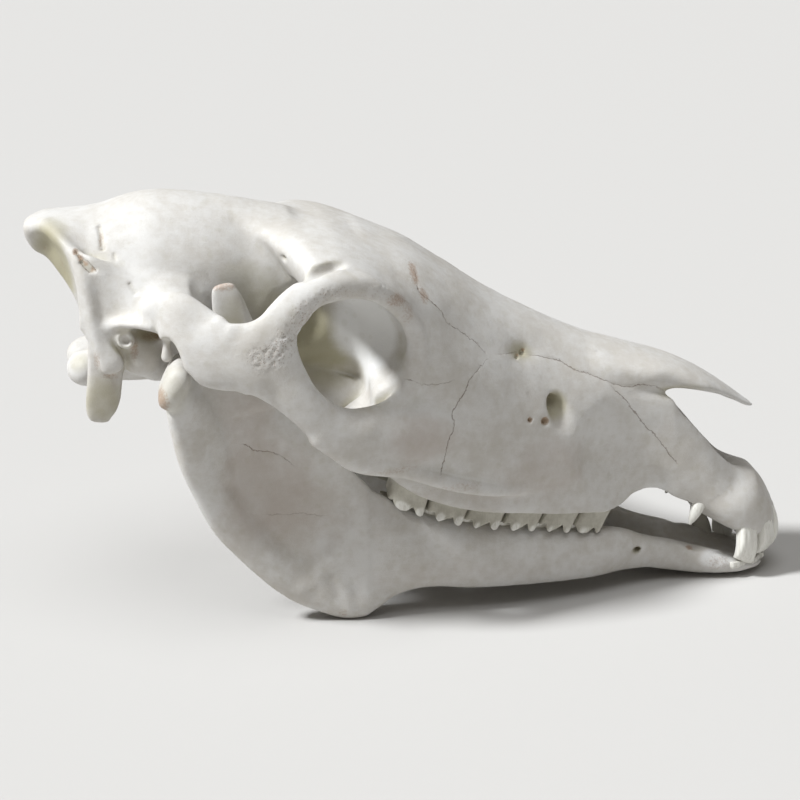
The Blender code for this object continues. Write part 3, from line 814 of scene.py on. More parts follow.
@dataclass
class Bone:
    """A bone mass with its relief and its masks. The sub-assemblies fill in what it is made of."""

    cell: float = CELL

    def modelled(self) -> Clay:
        """Melts the bone mass.

        Returns:
            The block of distances.
        """
        raise NotImplementedError

    def lines(self) -> tuple[Line, ...]:
        """Seams, cracks, slits and ridges."""
        return ()

    def patches(self) -> tuple[Patch, ...]:
        """Stains, rough places, painted shade and painted light."""
        return ()

    def dents(self) -> tuple[tuple[Point, Point, float], ...]:
        """Small hollows: centre, half sizes and depth."""
        return ()

    def build(self, name: str) -> bpy.types.Object:
        """Skins the mass, works its relief in and thins it.

        The relief moves each point along its normal: noise at three sizes, pits where the bone is
        rough, the lines' cuts and the dents. What would reach under the floor is worn flat.

        Args:
            name: The piece's name.

        Returns:
            The piece, with its masks.
        """
        clay = self.modelled()
        points, quads = clay.skinned()
        piece = put_in_mesh(name, points, quads)
        normals = outward(piece)
        right = np.column_stack([points[:, 0], -np.abs(points[:, 1]), points[:, 2]])
        move = sum(height * bumps(points, size, seed) for height, size, seed in RELIEF)
        rough = masked(self.patches(), Mark.ROUGH, points)
        some = rough > ROUGH_LEAST
        height, size, seed = ROUGH_PITS
        move[some] -= rough[some] * height * pits(points[some], size, seed)
        height, size, seed = ROUGH_GRAIN
        move[some] += rough[some] * height * bumps(points[some], size, seed)
        for line in self.lines():
            move -= line.cut(points, normals)
        for centre, sizes, depth in self.dents():
            q = (((right - centre) / sizes) ** 2).sum(axis=1)
            move -= depth * np.exp(-q)
        moved = points + normals * move[:, None] + SHIFT
        moved[:, 2] = np.maximum(moved[:, 2], 0)
        piece.data.vertices.foreach_set("co", (moved * MM).astype(np.float32).ravel())
        thinned(piece, FACE_LIMIT)
        self.mask(piece, clay)
        return piece

    def mask(self, piece: bpy.types.Object, clay: Clay) -> None:
        """Stores the masks that the bone's finish reads.

        The marks come from the patches. The hollow mask grows with the bone that crowds round a
        place just off the surface, the crease mask where that bone is close, and the edge mask
        where little bone lies under the surface. The hollow and crease masks carry painted shade.
        Each seam's mask is a signed distance.

        Args:
            piece: The finished piece.
            clay: The block that it was skinned from.
        """
        points, normals = points_of(piece) - SHIFT, outward(piece)
        for mark in Mark:
            paint(piece, mark.value, masked(self.patches(), mark, points))
        crowded = clay.crowding(points + normals * HOLLOW_LOOK)
        paint(piece, "hollow", np.clip((crowded - HOLLOW_START) / HOLLOW_GROWTH, 0, 1))
        outside = clay.sample(points + normals * CREASE_LOOK)
        paint(piece, "crease", np.clip(1 - outside / CREASE_LOOK, 0, 1))
        inside = clay.sample(points - normals * EDGE_LOOK)
        paint(piece, "edge", np.clip(1 + inside / EDGE_LOOK, 0, 1))
        for channel in CHANNELS:
            best, strength = np.full(len(points), FAR), np.zeros(len(points))
            for line in self.lines():
                if line.channel == channel:
                    signed, share = line.measure(points, normals)
                    fade = line.strength * np.clip(SEAM_FADE * share * (1 - share), 0, 1)
                    closer = np.abs(signed) < np.abs(best)
                    best, strength = np.where(closer, signed, best), np.where(closer, fade, strength)
            paint(piece, channel, best)
            paint(piece, channel + "_strength", strength * np.clip(2 - np.abs(best) / SEAM_REACH, 0, 1))


# Bones

BOTH = (Side.RIGHT, Side.LEFT)


@dataclass
class Cranium(Bone):
    """The skull without its lower jaw: one mass of bone, solid where no opening shows inside.

    Each field is one bone or one hollow, of the right side where it is paired.
    """

    braincase: Shape = Loft(melt=8, rows=(
        (-245.1, 250, 246, 241, 7, 2.0, 2.0),
        (-240, 253, 246, 233, 14, 2.2, 1.8),
        (-233, 256, 246, 229, 20, 2.2, 1.8),
        (-226, 257, 243, 219, 27, 2.2, 1.8),
        (-217, 258, 232, 203, 35, 2.0, 2.0),
        (-208, 259, 218, 172, 41, 1.9, 2.0),
        (-198, 261, 210, 156, 46, 1.9, 2.0),
        (-186, 265, 206, 152, 49, 1.9, 2.0),
        (-170, 267.7, 205, 152, 51, 2.0, 2.0),
        (-150, 267, 206, 153, 50, 2.0, 2.0),
        (-130, 264, 208, 155, 46, 2.0, 2.0),
        (-110, 260, 208, 155, 40, 2.0, 2.0),
        (-88, 254, 206, 152, 36, 2.2, 2.0),
    ))
    between_eyes: Shape = Loft(melt=12, rows=(
        (-122, 240, 204, 160, 26, 2.0, 2.0),
        (-104, 250, 204, 154, 34, 2.2, 2.0),
        (-75, 246, 198, 148, 36, 2.4, 2.0),
        (-45, 236, 190, 142, 36, 2.4, 2.0),
        (-15, 220, 180, 130, 38, 2.4, 2.0),
        (15, 202, 170, 120, 38, 2.4, 2.0),
    ))
    face: Shape = Loft(melt=12, rows=(
        (-42, 238, 124, 104, 73, 2.9, 2.2),
        (-15, 230, 115, 98, 77.5, 3.0, 2.2),
        (10, 218, 105, 91, 74.5, 2.7, 2.2),
        (35, 203, 97, 84, 68, 2.35, 2.4),
        (55, 192, 95, 80, 60.5, 2.2, 2.6),
        (75, 182, 98, 77, 53.5, 2.1, 2.8),
        (95, 173, 103, 74, 47, 2.1, 3.0),
        (115, 165, 107, 70, 40, 2.2, 3.0),
        (135, 158, 105, 67, 34, 2.3, 3.0),
        (150, 150, 106, 66, 27, 2.3, 3.0),
        (162, 138, 108, 74, 18, 2.2, 2.6),
        (172, 124, 110, 90, 8, 2.0, 2.0),
    ))
    brow: Shape = Loft(melt=6, rows=(
        (-142, 259, 255, 251, 5, 2.0, 2.0),
        (-130, 260.5, 254, 248, 12, 2.0, 2.0),
        (-118, 259.3, 250, 243, 20, 1.9, 2.0),
        (-108, 257.5, 246, 238, 29, 1.85, 2.0),
        (-100, 256.2, 242.5, 232, 39, 1.8, 2.0),
        (-93.5, 254.8, 238.5, 226, 52, 1.8, 2.2),
        (-88, 253.6, 235, 219, 67, 1.85, 2.2),
        (-83.5, 252.6, 232, 214, 80, 1.9, 2.4),
        (-78, 251.5, 230.5, 211, 89, 2.0, 2.4),
        (-70, 250.6, 229, 208.5, 93, 2.0, 2.4),
        (-60, 249, 227, 206, 92, 2.0, 2.4),
        (-45, 244, 222, 200, 87, 2.0, 2.4),
        (-28, 237, 211, 188, 79, 2.0, 2.2),
        (-12, 229, 200, 172, 68, 2.0, 2.2),
        (8, 212, 186, 160, 51, 2.0, 2.0),
        (26, 190, 172, 152, 30, 2.0, 2.0),
        (42, 172, 162, 152, 10, 2.0, 2.0),
    ))
    nasal_bones: Shape = Loft(melt=6, rows=(
        (88, 158, 146, 128, 20, 2.2, 2.0),
        (108, 163, 149, 128, 29, 2.2, 2.0),
        (135, 158, 146, 128, 30, 2.2, 2.0),
        (160, 151.5, 140, 132, 28, 2.2, 2.0),
        (178, 144, 135, 130, 24, 2.0, 2.0),
        (192, 136, 130, 126, 18, 2.0, 2.0),
        (205, 127, 123, 120, 12, 2.0, 2.0),
        (216, 119, 117, 114, 7, 2.0, 2.0),
        (223, 115, 114, 112, 2.5, 2.0, 2.0),
    ))
    premaxilla: Shape = Loft(melt=8, rows=(
        (184, 58, 53, 46, 18, 2.4, 2.4),
        (196, 62, 50, 39.5, 26, 2.4, 2.6),
        (209, 68, 47, 33, 28.5, 2.2, 3.2),
        (219.5, 70.5, 43, 29.5, 26.5, 2.0, 3.2),
        (227.5, 63.5, 39, 26.5, 21.5, 2.0, 3.2),
        (233.5, 53.5, 35, 25, 15.5, 2.0, 3.0),
        (238.5, 42, 31, 25, 9.5, 2.0, 2.6),
        (242, 33, 29, 26, 4, 2.0, 2.0),
    ))
    skull_base: Shape = Tube(melt=8, rows=(
        (-212, 0, 161, 17, 9),
        (-190, 0, 159, 15, 9),
        (-150, 0, 161, 14, 9),
        (-110, 0, 161, 13, 9),
        (-78, 0, 158, 12, 8),
    ))
    nose_wall: Shape = Plate(melt=7, rows=(
        (104, 27, 76, 24, 122, 3),
        (122, 28.5, 71, 26, 129, 4),
        (140, 28, 68, 26.5, 132, 4.5),
        (157, 26.5, 65, 26, 130, 4.5),
        (165, 25.5, 61, 25, 120, 4.5),
        (179, 25, 55, 22.5, 105, 5.0),
        (191, 25, 50, 19, 91, 6.0),
        (203, 24, 45, 14.5, 79, 7.0),
        (213, 20, 40, 11.5, 74, 7.5),
        (221, 15, 38, 9.5, 70, 7.5),
    ))
    tooth_wall: Shape = Plate(melt=9, power=6, rows=(
        (-42, 44, 106, 44, 124, 7),
        (-30, 46.6, 96, 47.5, 126, 10),
        (-14, 47.8, 84, 49, 126, 11),
        (5, 47.3, 75.5, 49, 122, 11.5),
        (28, 46.8, 69.5, 48, 114, 11.5),
        (55, 44.8, 66, 45.5, 106, 11.5),
        (80, 40.3, 62.5, 40.5, 100, 11),
        (103, 35, 59.5, 35, 94, 9.5),
        (118, 31.7, 58, 31, 88, 7.5),
        (129, 29.3, 61, 28, 84, 6.5),
        (137, 27.5, 69, 27, 82, 5),
    ))
    maxilla_tuber: Shape = Ball(melt=12, centre=(-42, 46, 122), sizes=(22, 15, 22))
    pterygoid: Shape = Plate(melt=5, rows=(
        (-128, 17, 152, 17, 170, 4),
        (-105, 20, 138, 20, 166, 4),
        (-75, 23, 118, 23, 160, 4),
        (-50, 26, 104, 26, 152, 4.5),
        (-25, 30, 100, 32, 140, 6),
    ))
    eye_bar: Shape = Tube(melt=10, rows=(
        (-68, 83.5, 230, 5, 6),
        (-79, 89, 228, 5.5, 9),
        (-90, 94, 221, 5.5, 10.5),
        (-101, 95.9, 208, 5.5, 12),
        (-110, 95.4, 193, 6, 14),
        (-118, 94.2, 181, 6, 13),
    ))
    cheek_arch: Shape = Tube(melt=9, rows=(
        (-171, 69, 212, 7, 8),
        (-164, 76, 213, 6.5, 12.5),
        (-156, 83, 208, 6, 17),
        (-147, 89.5, 198, 6, 21),
        (-135, 94, 191, 5.5, 20.5),
        (-121, 95.5, 189.5, 5, 20.5),
        (-108, 96, 184, 6, 20),
        (-98, 95.7, 173, 6.5, 15.5),
        (-88, 95, 161, 7, 12),
        (-76, 93.5, 148, 7, 12),
        (-62, 91, 136.5, 7.5, 14),
        (-48, 87, 130, 8, 19),
        (-28, 80, 129, 9, 21),
        (-5, 72, 127, 8, 17),
        (18, 61, 121, 5, 9),
        (38, 52, 114, 2.5, 5),
    ))
    crest: Shape = Tube(melt=5, rows=(
        (-78, 94, 137, 4, 4.5),
        (-66, 92, 129, 4, 4.5),
        (-48, 88.5, 118, 4, 4.5),
        (-22, 82, 109, 4, 4.5),
        (8, 75, 97, 4, 4.5),
        (32, 67.5, 89.5, 4, 4),
        (50, 59, 86, 3.5, 3.5),
        (64, 51, 87, 3, 3),
    ))
    orbit_rim: Shape = Tube(melt=6, rows=(
        (-101, 95.3, 192, 5, 6),
        (-98.5, 95.7, 209, 5, 6),
        (-86, 95.3, 222, 5.5, 6),
        (-70, 90.5, 229.5, 5.5, 6),
        (-52, 85.5, 228.5, 5.5, 6),
        (-37, 81, 219.5, 4.2, 5.5),
        (-25, 75.5, 207, 3.2, 5),
        (-17, 72.5, 192, 3, 5),
        (-16.5, 73, 175, 3, 5),
        (-21.5, 76.5, 160.5, 3, 5),
        (-35, 81.5, 151, 3, 4.5),
        (-52, 87, 149, 3, 4.5),
        (-68, 90.5, 151.5, 3.3, 4.5),
        (-83, 93.5, 160, 4, 5),
        (-96, 95.5, 174, 5, 6),
        (-101, 95.3, 190, 5, 6),
    ))
    cheek_root: Shape = Tube(melt=10, hint=(1, 0, 0), rows=(
        (-157, 40, 208, 15, 9),
        (-158, 60, 209, 12.5, 11),
        (-156, 76, 208, 9.5, 13.5),
    ))
    ear_ledge: Shape = Tube(melt=6, hint=(0, 0, 1), rows=(
        (-196, 50, 198, 2.5, 3),
        (-189, 57, 201.5, 2.6, 5),
        (-181, 63, 203, 2.6, 6),
        (-170, 69.5, 204, 3.2, 8),
    ))
    jugular: Shape = Tube(melt=4, power=3.0, rows=(
        (-199, 46, 184, 4.5, 11),
        (-200.5, 46, 168, 4.2, 10.6),
        (-202.3, 46, 152, 3.8, 10.3),
        (-204.4, 45.5, 143.5, 3.4, 8.8),
        (-205, 45, 139, 3, 6.6),
    ))
    mastoid: Shape = Tube(melt=2.5, power=2.6, rows=(
        (-203, 50, 196, 3, 3.5),
        (-200.5, 51.5, 186, 3.6, 5),
        (-197.5, 52.5, 178, 4.2, 7),
        (-196, 52.5, 173.5, 4, 7),
    ))
    mastoid_wall: Shape = Plate(melt=9, rows=(
        (-214.5, 47, 196, 40, 241, 3.2),
        (-207, 48.7, 186, 44, 240, 3.8),
        (-200, 49.7, 182, 45, 237, 3.8),
        (-192, 51.5, 191, 45.5, 232, 4),
        (-184, 55.5, 198, 46.5, 228, 5),
        (-174, 62, 202, 48, 226, 5),
        (-164, 66, 204, 49, 225, 5),
        (-152, 64, 208, 48, 222, 3),
    ))
    crest_wing: Shape = Tube(melt=6, hint=(1, 0, 0.5), rows=(
        (-240, 5, 248.5, 3, 3),
        (-232, 14, 249.5, 3, 4),
        (-223, 28, 245, 3, 4.6),
        (-215.5, 38, 237, 3, 5),
        (-211, 44.5, 227, 3, 4.8),
        (-208.8, 47, 217, 3, 4.5),
        (-207, 48.5, 205, 3, 4.5),
        (-205, 49.5, 193, 3, 4.5),
        (-203, 50, 182, 3, 4.5),
    ))
    neck_knob: Shape = Ball(melt=4, centre=(-212.4, 13.4, 160.8), sizes=(11.6, 13.4, 11), turn=(0, 0, -12))
    neck_bridge: Shape = Tube(melt=8, rows=(
        (-207, 13, 162, 8, 8),
        (-208.5, 5, 160, 8, 8.5),
        (-209, 0, 160, 8, 8.5),
    ))
    ear_mass: Shape = Ball(melt=4, centre=(-178, 42, 178), sizes=(13, 10, 14))
    bulla: Shape = Ball(melt=4, centre=(-169, 34, 168), sizes=(13, 10, 10))
    ear_tube: Shape = Tube(melt=2.5, rows=(
        (-184, 38, 185, 7, 7),
        (-186.5, 48, 188.5, 5.6, 5.6),
        (-188, 56, 190.4, 5, 5),
    ), hint=(1, 0, 0))
    joint_stop: Shape = Tube(melt=4, hint=(0, 1, 0), rows=(
        (-166, 71, 206, 6, 5),
        (-164.8, 71, 199, 4, 3),
        (-164.4, 71, 191.5, 3.2, 2.4),
        (-164.3, 71, 184.5, 3.6, 3.6),
    ))
    orbit: Shape = Ball(melt=5, centre=(-58, 76, 189), sizes=(38, 35, 35), turn=(0, 0, -15))
    orbit_back: Shape = Ball(melt=2, centre=(-85, 57, 191), sizes=(26, 27.5, 34), turn=(0, 0, 12))
    temple: Shape = Ball(melt=4, centre=(-118, 68, 214), sizes=(25, 21, 60), turn=(0, 12, 0))
    jaw_socket: Shape = Ball(melt=5, centre=(-162, 78, 171), sizes=(15, 28, 14))
    joint_gap: Shape = Ball(melt=3, centre=(-162.5, 90, 186), sizes=(6, 17, 15), turn=(0, -12, 0))
    ear_hollow: Shape = Ball(melt=3, centre=(-178, 62, 186.5), sizes=(11, 14, 13))
    ear_gap: Shape = Ball(melt=2, centre=(-174, 50, 192.5), sizes=(8, 10, 4.6), turn=(0, 14, 0))
    ear_canal: Shape = Ball(melt=1.2, centre=(-188, 58.5, 190.4), sizes=(3.8, 5.2, 3.8))
    nape_hollow: Shape = Ball(melt=5, centre=(-238.5, 27, 232), sizes=(13, 19, 29), turn=(0, -33, 0))
    nape_dish: Shape = Ball(melt=4, centre=(-237, 20, 234), sizes=(10, 13, 14), turn=(0, -20, 0))
    nape_low: Shape = Ball(melt=8, centre=(-224, 30, 192), sizes=(9, 13, 15))
    behind_wing: Shape = Ball(melt=12, centre=(-205, 63, 232), sizes=(18, 12.5, 24), turn=(0, 0, 20))
    spinal_hole: Shape = Ball(melt=4, centre=(-216, 0, 182), sizes=(34, 15, 12.5), paired=False)
    jugular_gap: Shape = Ball(melt=3, centre=(-214, 37, 170), sizes=(7, 4.5, 12))
    cheek_hollow: Shape = Ball(melt=12, centre=(-6, 85, 88), sizes=(66, 16, 12), turn=(0, 14, -14))
    snout_hollow: Shape = Ball(melt=14, centre=(134, 46, 102), sizes=(36, 11, 32))
    bar_hollow: Shape = Ball(melt=1.4, centre=(139, 37.4, 66), sizes=(26, 9, 22), turn=(0, 0, -14))
    nasal_hollow: Shape = Ball(melt=8, centre=(164, 42, 139), sizes=(20, 14, 7), turn=(0, 20, 6))
    face_hole: Shape = Tube(melt=1.5, rows=(
        (69, 38, 141, 4, 3),
        (76, 46.5, 136, 5, 6),
        (83, 51, 129, 5, 9),
        (90, 52, 122, 3, 7),
    ))
    brow_groove: Shape = Tube(melt=3.5, rows=(
        (-94, 93, 239, 3, 3),
        (-85, 89, 237.6, 4.4, 4.6),
        (-75, 85, 237.2, 4.8, 5),
        (-67, 81, 237.8, 4.2, 4.2),
        (-60, 77, 241, 2, 2),
    ))
    brow_hole: Shape = Ball(melt=1, centre=(-65.8, 80.5, 238), sizes=(2, 2.6, 4.5))
    nose: Shape = Loft(melt=3, rows=(
        (60, 152, 128, 100, 12, 2.0, 2.0),
        (100, 158, 128, 88, 22, 2.2, 2.4),
        (150, 149, 122, 76, 21, 2.2, 2.6),
        (170, 142, 116, 68, 20, 2.2, 2.6),
        (188, 133, 100, 66, 15, 2.2, 2.6),
        (206, 122, 98, 71, 9, 2.0, 2.2),
        (226, 112, 100, 84, 4, 2.0, 2.0),
    ))
    rear_nose: Shape = Loft(melt=5, rows=(
        (-74, 146, 130, 96, 17, 2.4, 2.4),
        (-40, 138, 118, 92, 21, 2.4, 2.4),
        (-18, 132, 112, 96, 22, 2.4, 2.4),
        (12, 124, 112, 104, 16, 2.2, 2.2),
    ))

    def lines(self) -> tuple[Line, ...]:
        """The seams between the skull's bones, and the slits behind its crest."""
        return (
            Line("seam_a", (
                (-16, -36, 229), (-14.5, -48.7, 223.2), (-13.8, -60.1, 217.1), (-6.4, -59.8, 210.5),
                (-0.3, -59.8, 204.1), (4.6, -60.6, 196.6), (12.5, -58.3, 190.6), (19.1, -56.9, 184.9),
                (25.7, -55.4, 179.8), (31, -55.4, 172.5),
            )),
            Line("seam_b", (
                (33.5, -55.5, 173), (24.7, -62, 167.1), (17.6, -67.3, 161.4), (14.5, -69.9, 155),
                (10.1, -72.7, 149.5), (5.5, -75.3, 142.3), (7.2, -76.4, 136.2), (3.3, -78.6, 127.6),
                (1.8, -78.2, 117.7), (-0.9, -77.1, 107.7), (-2.8, -81.5, 101),
            )),
            Line("seam_a", (
                (-24.9, -76.1, 167.4), (-18, -78.7, 165.5), (-11.5, -76.5, 162.6), (-2, -74.3, 162),
                (9, -70.9, 163.1),
            ), strength=0.7),
            Line("seam_c", (
                (35.7, -52.8, 172.1), (46.6, -45.7, 170.7), (57.4, -40.2, 169.2), (67.6, -37.2, 165.3),
                (81.4, -33.9, 160.4), (91.2, -34.3, 154.2), (101.4, -32.9, 150.7), (110, -32.9, 146.4),
                (118.2, -32.2, 143.2), (128.5, -30.8, 140.3), (136.7, -29.3, 141.4), (145.8, -27.9, 139.3),
                (154, -24.5, 134),
            ), strength=0.8),
            Line("seam_a", (
                (114, -33.1, 144), (122.9, -33.1, 135.2), (130.9, -32, 125.1), (139.7, -31, 114.2),
                (148.4, -29.9, 105.2), (155.6, -29.6, 95.8), (160.7, -29.6, 89.4), (164.3, -29.7, 85),
            ), strength=0.8),
            Line("none", (
                (-201, -22, 253), (-200, -28, 249), (-199.3, -33, 243.5), (-199, -36, 240),
            ), 1.6, 1.5),
            Line("none", ((-184.7, -51.4, 225.1), (-182.5, -53.7, 221.4), (-180.4, -55.9, 218.3)), 1.0, 1.3),
            Line("seam_b", (
                (-215.3, -39.8, 242.3), (-212.5, -43.7, 239.7), (-209.2, -46.2, 236.6),
                (-206.4, -47.3, 233.8), (-203, -48.2, 230.3),
            ), 1.8, 1.6, 1.4),
            Line("seam_c", (
                (-212.6, -45.2, 237), (-209.3, -47.3, 233.8), (-205.9, -48.6, 230.5),
            ), 1.4, 1.4, 1.2),
            Line("none", ((-193, -38, 240), (-191.6, -41, 234)), 0.8, 0.8),
        )

    def patches(self) -> tuple[Patch, ...]:
        """Where the cranium is stained or rough, where olive painted shade darkens it and where pale painted
        light brightens it.
        """
        return (
            Patch(Mark.RUST, (-215, -41, 241.5), (1.9, 6, 1.8), 0.9),
            Patch(Mark.RUST, (-212, -44, 238.5), (1.9, 6, 1.8), 1.0),
            Patch(Mark.RUST, (-209, -46, 235.5), (1.9, 6, 1.8), 0.8),
            Patch(Mark.RUST, (-205.5, -48, 232), (1.9, 6, 1.8), 0.6),
            Patch(Mark.RUST, (58.4, -56, 130), (1.6, 5, 1.6), 1.4),
            Patch(Mark.RUST, (68.8, -52.4, 127.5), (2.6, 5, 2.4), 1.5),
            Patch(Mark.RUST, (56.7, -40.1, 169.9), (1.8, 4, 1.8), 1.2),
            Patch(Mark.RUST, (52.1, -44.3, 168.1), (1.6, 4, 1.6), 1.0),
            # Olive painted shade in the dent and the hole on the face.
            Patch(Mark.PAINTED_SHADE, (56, -42, 171), (13, 10, 8), 0.55),
            Patch(Mark.PAINTED_SHADE, (77, -45, 135), (9, 10, 11), 0.7),
            Patch(Mark.RUST, (-200, -31, 246), (1.6, 8, 6), 0.5),
            Patch(Mark.RUST, (-222, -44, 218), (4, 8, 5), 0.4),
            Patch(Mark.RUST, (-171, -50, 191), (8, 9, 3.5), 1.2),
            Patch(Mark.RUST, (-183, -52, 184), (3, 8, 8), 0.6),
            Patch(Mark.RUST, (-224, -20, 222), (3, 6, 16), 0.35),
            Patch(Mark.RUST, (-29, -82, 218), (10, 9, 4.5), 0.6),
            Patch(Mark.RUST, (-22, -78, 209), (6, 8, 8), 0.35),
            Patch(Mark.RUST, (-15, -48, 224), (3, 14, 9), 0.75),
            Patch(Mark.RUST, (-10.5, -60, 213.5), (3.5, 7, 6), 0.6),
            Patch(Mark.RUST, (-30, -89, 113.2), (30, 9, 3), 0.3),
            Patch(Mark.RUST, (10, -77, 96), (30, 9, 4), 0.28),
            Patch(Mark.RUST, (-197, -54, 167), (9, 6, 2.6), 0.6),
            Patch(Mark.RUST, (-205, -52, 178), (2.5, 6, 8), 0.45),
            Patch(Mark.RUST, (-102, -104, 197), (11, 8, 6), 0.2),
            Patch(Mark.RUST, (-85, -101, 214), (9, 8, 12), 0.25),
            Patch(Mark.RUST, (-234, -14, 236), (4, 9, 5), 0.3),
            # Olive painted shade inside the orbit, in the temple's hollow and the brow groove, by the ear,
            # on the nape and under the nose and front teeth.
            Patch(Mark.PAINTED_SHADE, (-66, -38, 166), (26, 20, 26), 0.75),
            Patch(Mark.PAINTED_SHADE, (-84, -42, 184), (26, 26, 30), 0.9),
            Patch(Mark.PAINTED_SHADE, (-60, -66, 222), (26, 22, 10), 0.6),
            Patch(Mark.PAINTED_SHADE, (-56, -80, 153), (34, 14, 7), 0.35),
            Patch(Mark.PAINTED_SHADE, (-22, -62, 172), (8, 14, 26), 0.35),
            Patch(Mark.PAINTED_SHADE, (-180, -46, 182), (20, 12, 18), 0.35),
            Patch(Mark.PAINTED_SHADE, (-112, -44, 214), (26, 14, 26), 0.45),
            Patch(Mark.PAINTED_SHADE, (-74, -84, 237), (10, 7, 6), 0.3),
            Patch(Mark.PAINTED_SHADE, (-230, -22, 228), (17, 22, 30), 0.95),
            Patch(Mark.PAINTED_SHADE, (-203, -48, 152), (16, 9, 18), 0.55),
            Patch(Mark.PAINTED_SHADE, (-218, -24, 170), (10, 10, 10), 0.5),
            Patch(Mark.PAINTED_SHADE, (165, -28, 134), (22, 12, 6), 0.45),
            Patch(Mark.PAINTED_SHADE, (238, -6, 24), (12, 12, 10), 0.5),
            # Pale painted light: the sunlit patch inside the orbit, the lit rim behind it and a lit strip
            # above the teeth.
            Patch(Mark.BLEACH, (-42, -44, 185), (24, 17, 32), 1.2),
            Patch(Mark.BLEACH, (-96, -90, 215), (22, 14, 14), 0.5),
            Patch(Mark.BLEACH, (-10, -64, 90), (36, 12, 7), 0.35),
            Patch(Mark.ROUGH, (-108, -105, 192), (13, 9, 8), 0.8),
            Patch(Mark.ROUGH, (-96, -103, 200), (9, 9, 9), 1.0),
            Patch(Mark.ROUGH, (-86, -101, 214), (9, 9, 10), 1.0),
            Patch(Mark.ROUGH, (-70, -97, 226), (14, 9, 5), 0.8),
            Patch(Mark.ROUGH, (-42, -88, 224), (18, 10, 6), 0.4),
            Patch(Mark.ROUGH, (-14, -60, 88), (22, 10, 5), 0.3),
            Patch(Mark.ROSE, (-20, -82, 132), (26, 12, 18), 0.4),
            Patch(Mark.ROSE, (50, -52, 96), (76, 18, 26), 0.5),
            Patch(Mark.ROSE, (-22, -80, 128), (40, 14, 16), 0.45),
            Patch(Mark.ROSE, (-150, -92, 186), (16, 14, 22), 0.25),
        )

    def dents(self) -> tuple[tuple[Point, Point, float], ...]:
        """The cranium's small hollows and holes."""
        return (
            ((57, -42, 170.5), (11, 9, 6.5), 1.9),
            ((56.7, -41, 169.9), (1.5, 4, 1.5), 2.2),
            ((52.1, -44.6, 168.1), (1.2, 4, 1.2), 1.6),
            ((58.4, -56, 130), (1.2, 4, 1.2), 2.5),
            ((68.8, -52.4, 127.5), (2.2, 4, 2.0), 3.5),
            ((116.9, -35.6, 82), (1.4, 4, 4.5), 1.2),
            ((-93.9, -52.8, 236.7), (1.6, 4, 1.6), 2.5),
        )

    def modelled(self) -> Clay:
        """Melts the bones together and carves the hollows.

        Returns:
            The block of distances.
        """
        clay = Clay((-252, -114, 20), (250, 12, 276), self.cell)
        clay.add(self.braincase, self.between_eyes, self.brow, self.face, self.nasal_bones, self.skull_base)
        clay.add(self.tooth_wall, self.maxilla_tuber, self.cheek_root)
        clay.carve(self.behind_wing, self.temple, self.orbit, self.orbit_back)
        clay.add(self.eye_bar, self.cheek_arch)
        clay.add(self.premaxilla, self.nose_wall, sides=BOTH)
        clay.carve(self.cheek_hollow, self.snout_hollow)
        clay.add(self.orbit_rim, self.crest)
        clay.add(self.pterygoid, self.mastoid_wall, self.crest_wing, self.ear_ledge)
        clay.carve(self.jaw_socket, self.joint_gap, self.nape_hollow, self.nape_dish, self.nape_low,
                   self.brow_groove)
        clay.add(self.neck_knob, self.neck_bridge, sides=BOTH)
        clay.carve(self.ear_hollow)
        clay.add(self.jugular, self.mastoid, self.ear_mass, self.bulla, self.ear_tube, self.joint_stop)
        clay.carve(self.ear_gap, self.ear_canal, self.spinal_hole, self.jugular_gap)
        clay.carve(self.bar_hollow, self.nasal_hollow, self.face_hole, self.brow_hole)
        clay.carve(self.nose, self.rear_nose)
        clay.soften()
        return clay


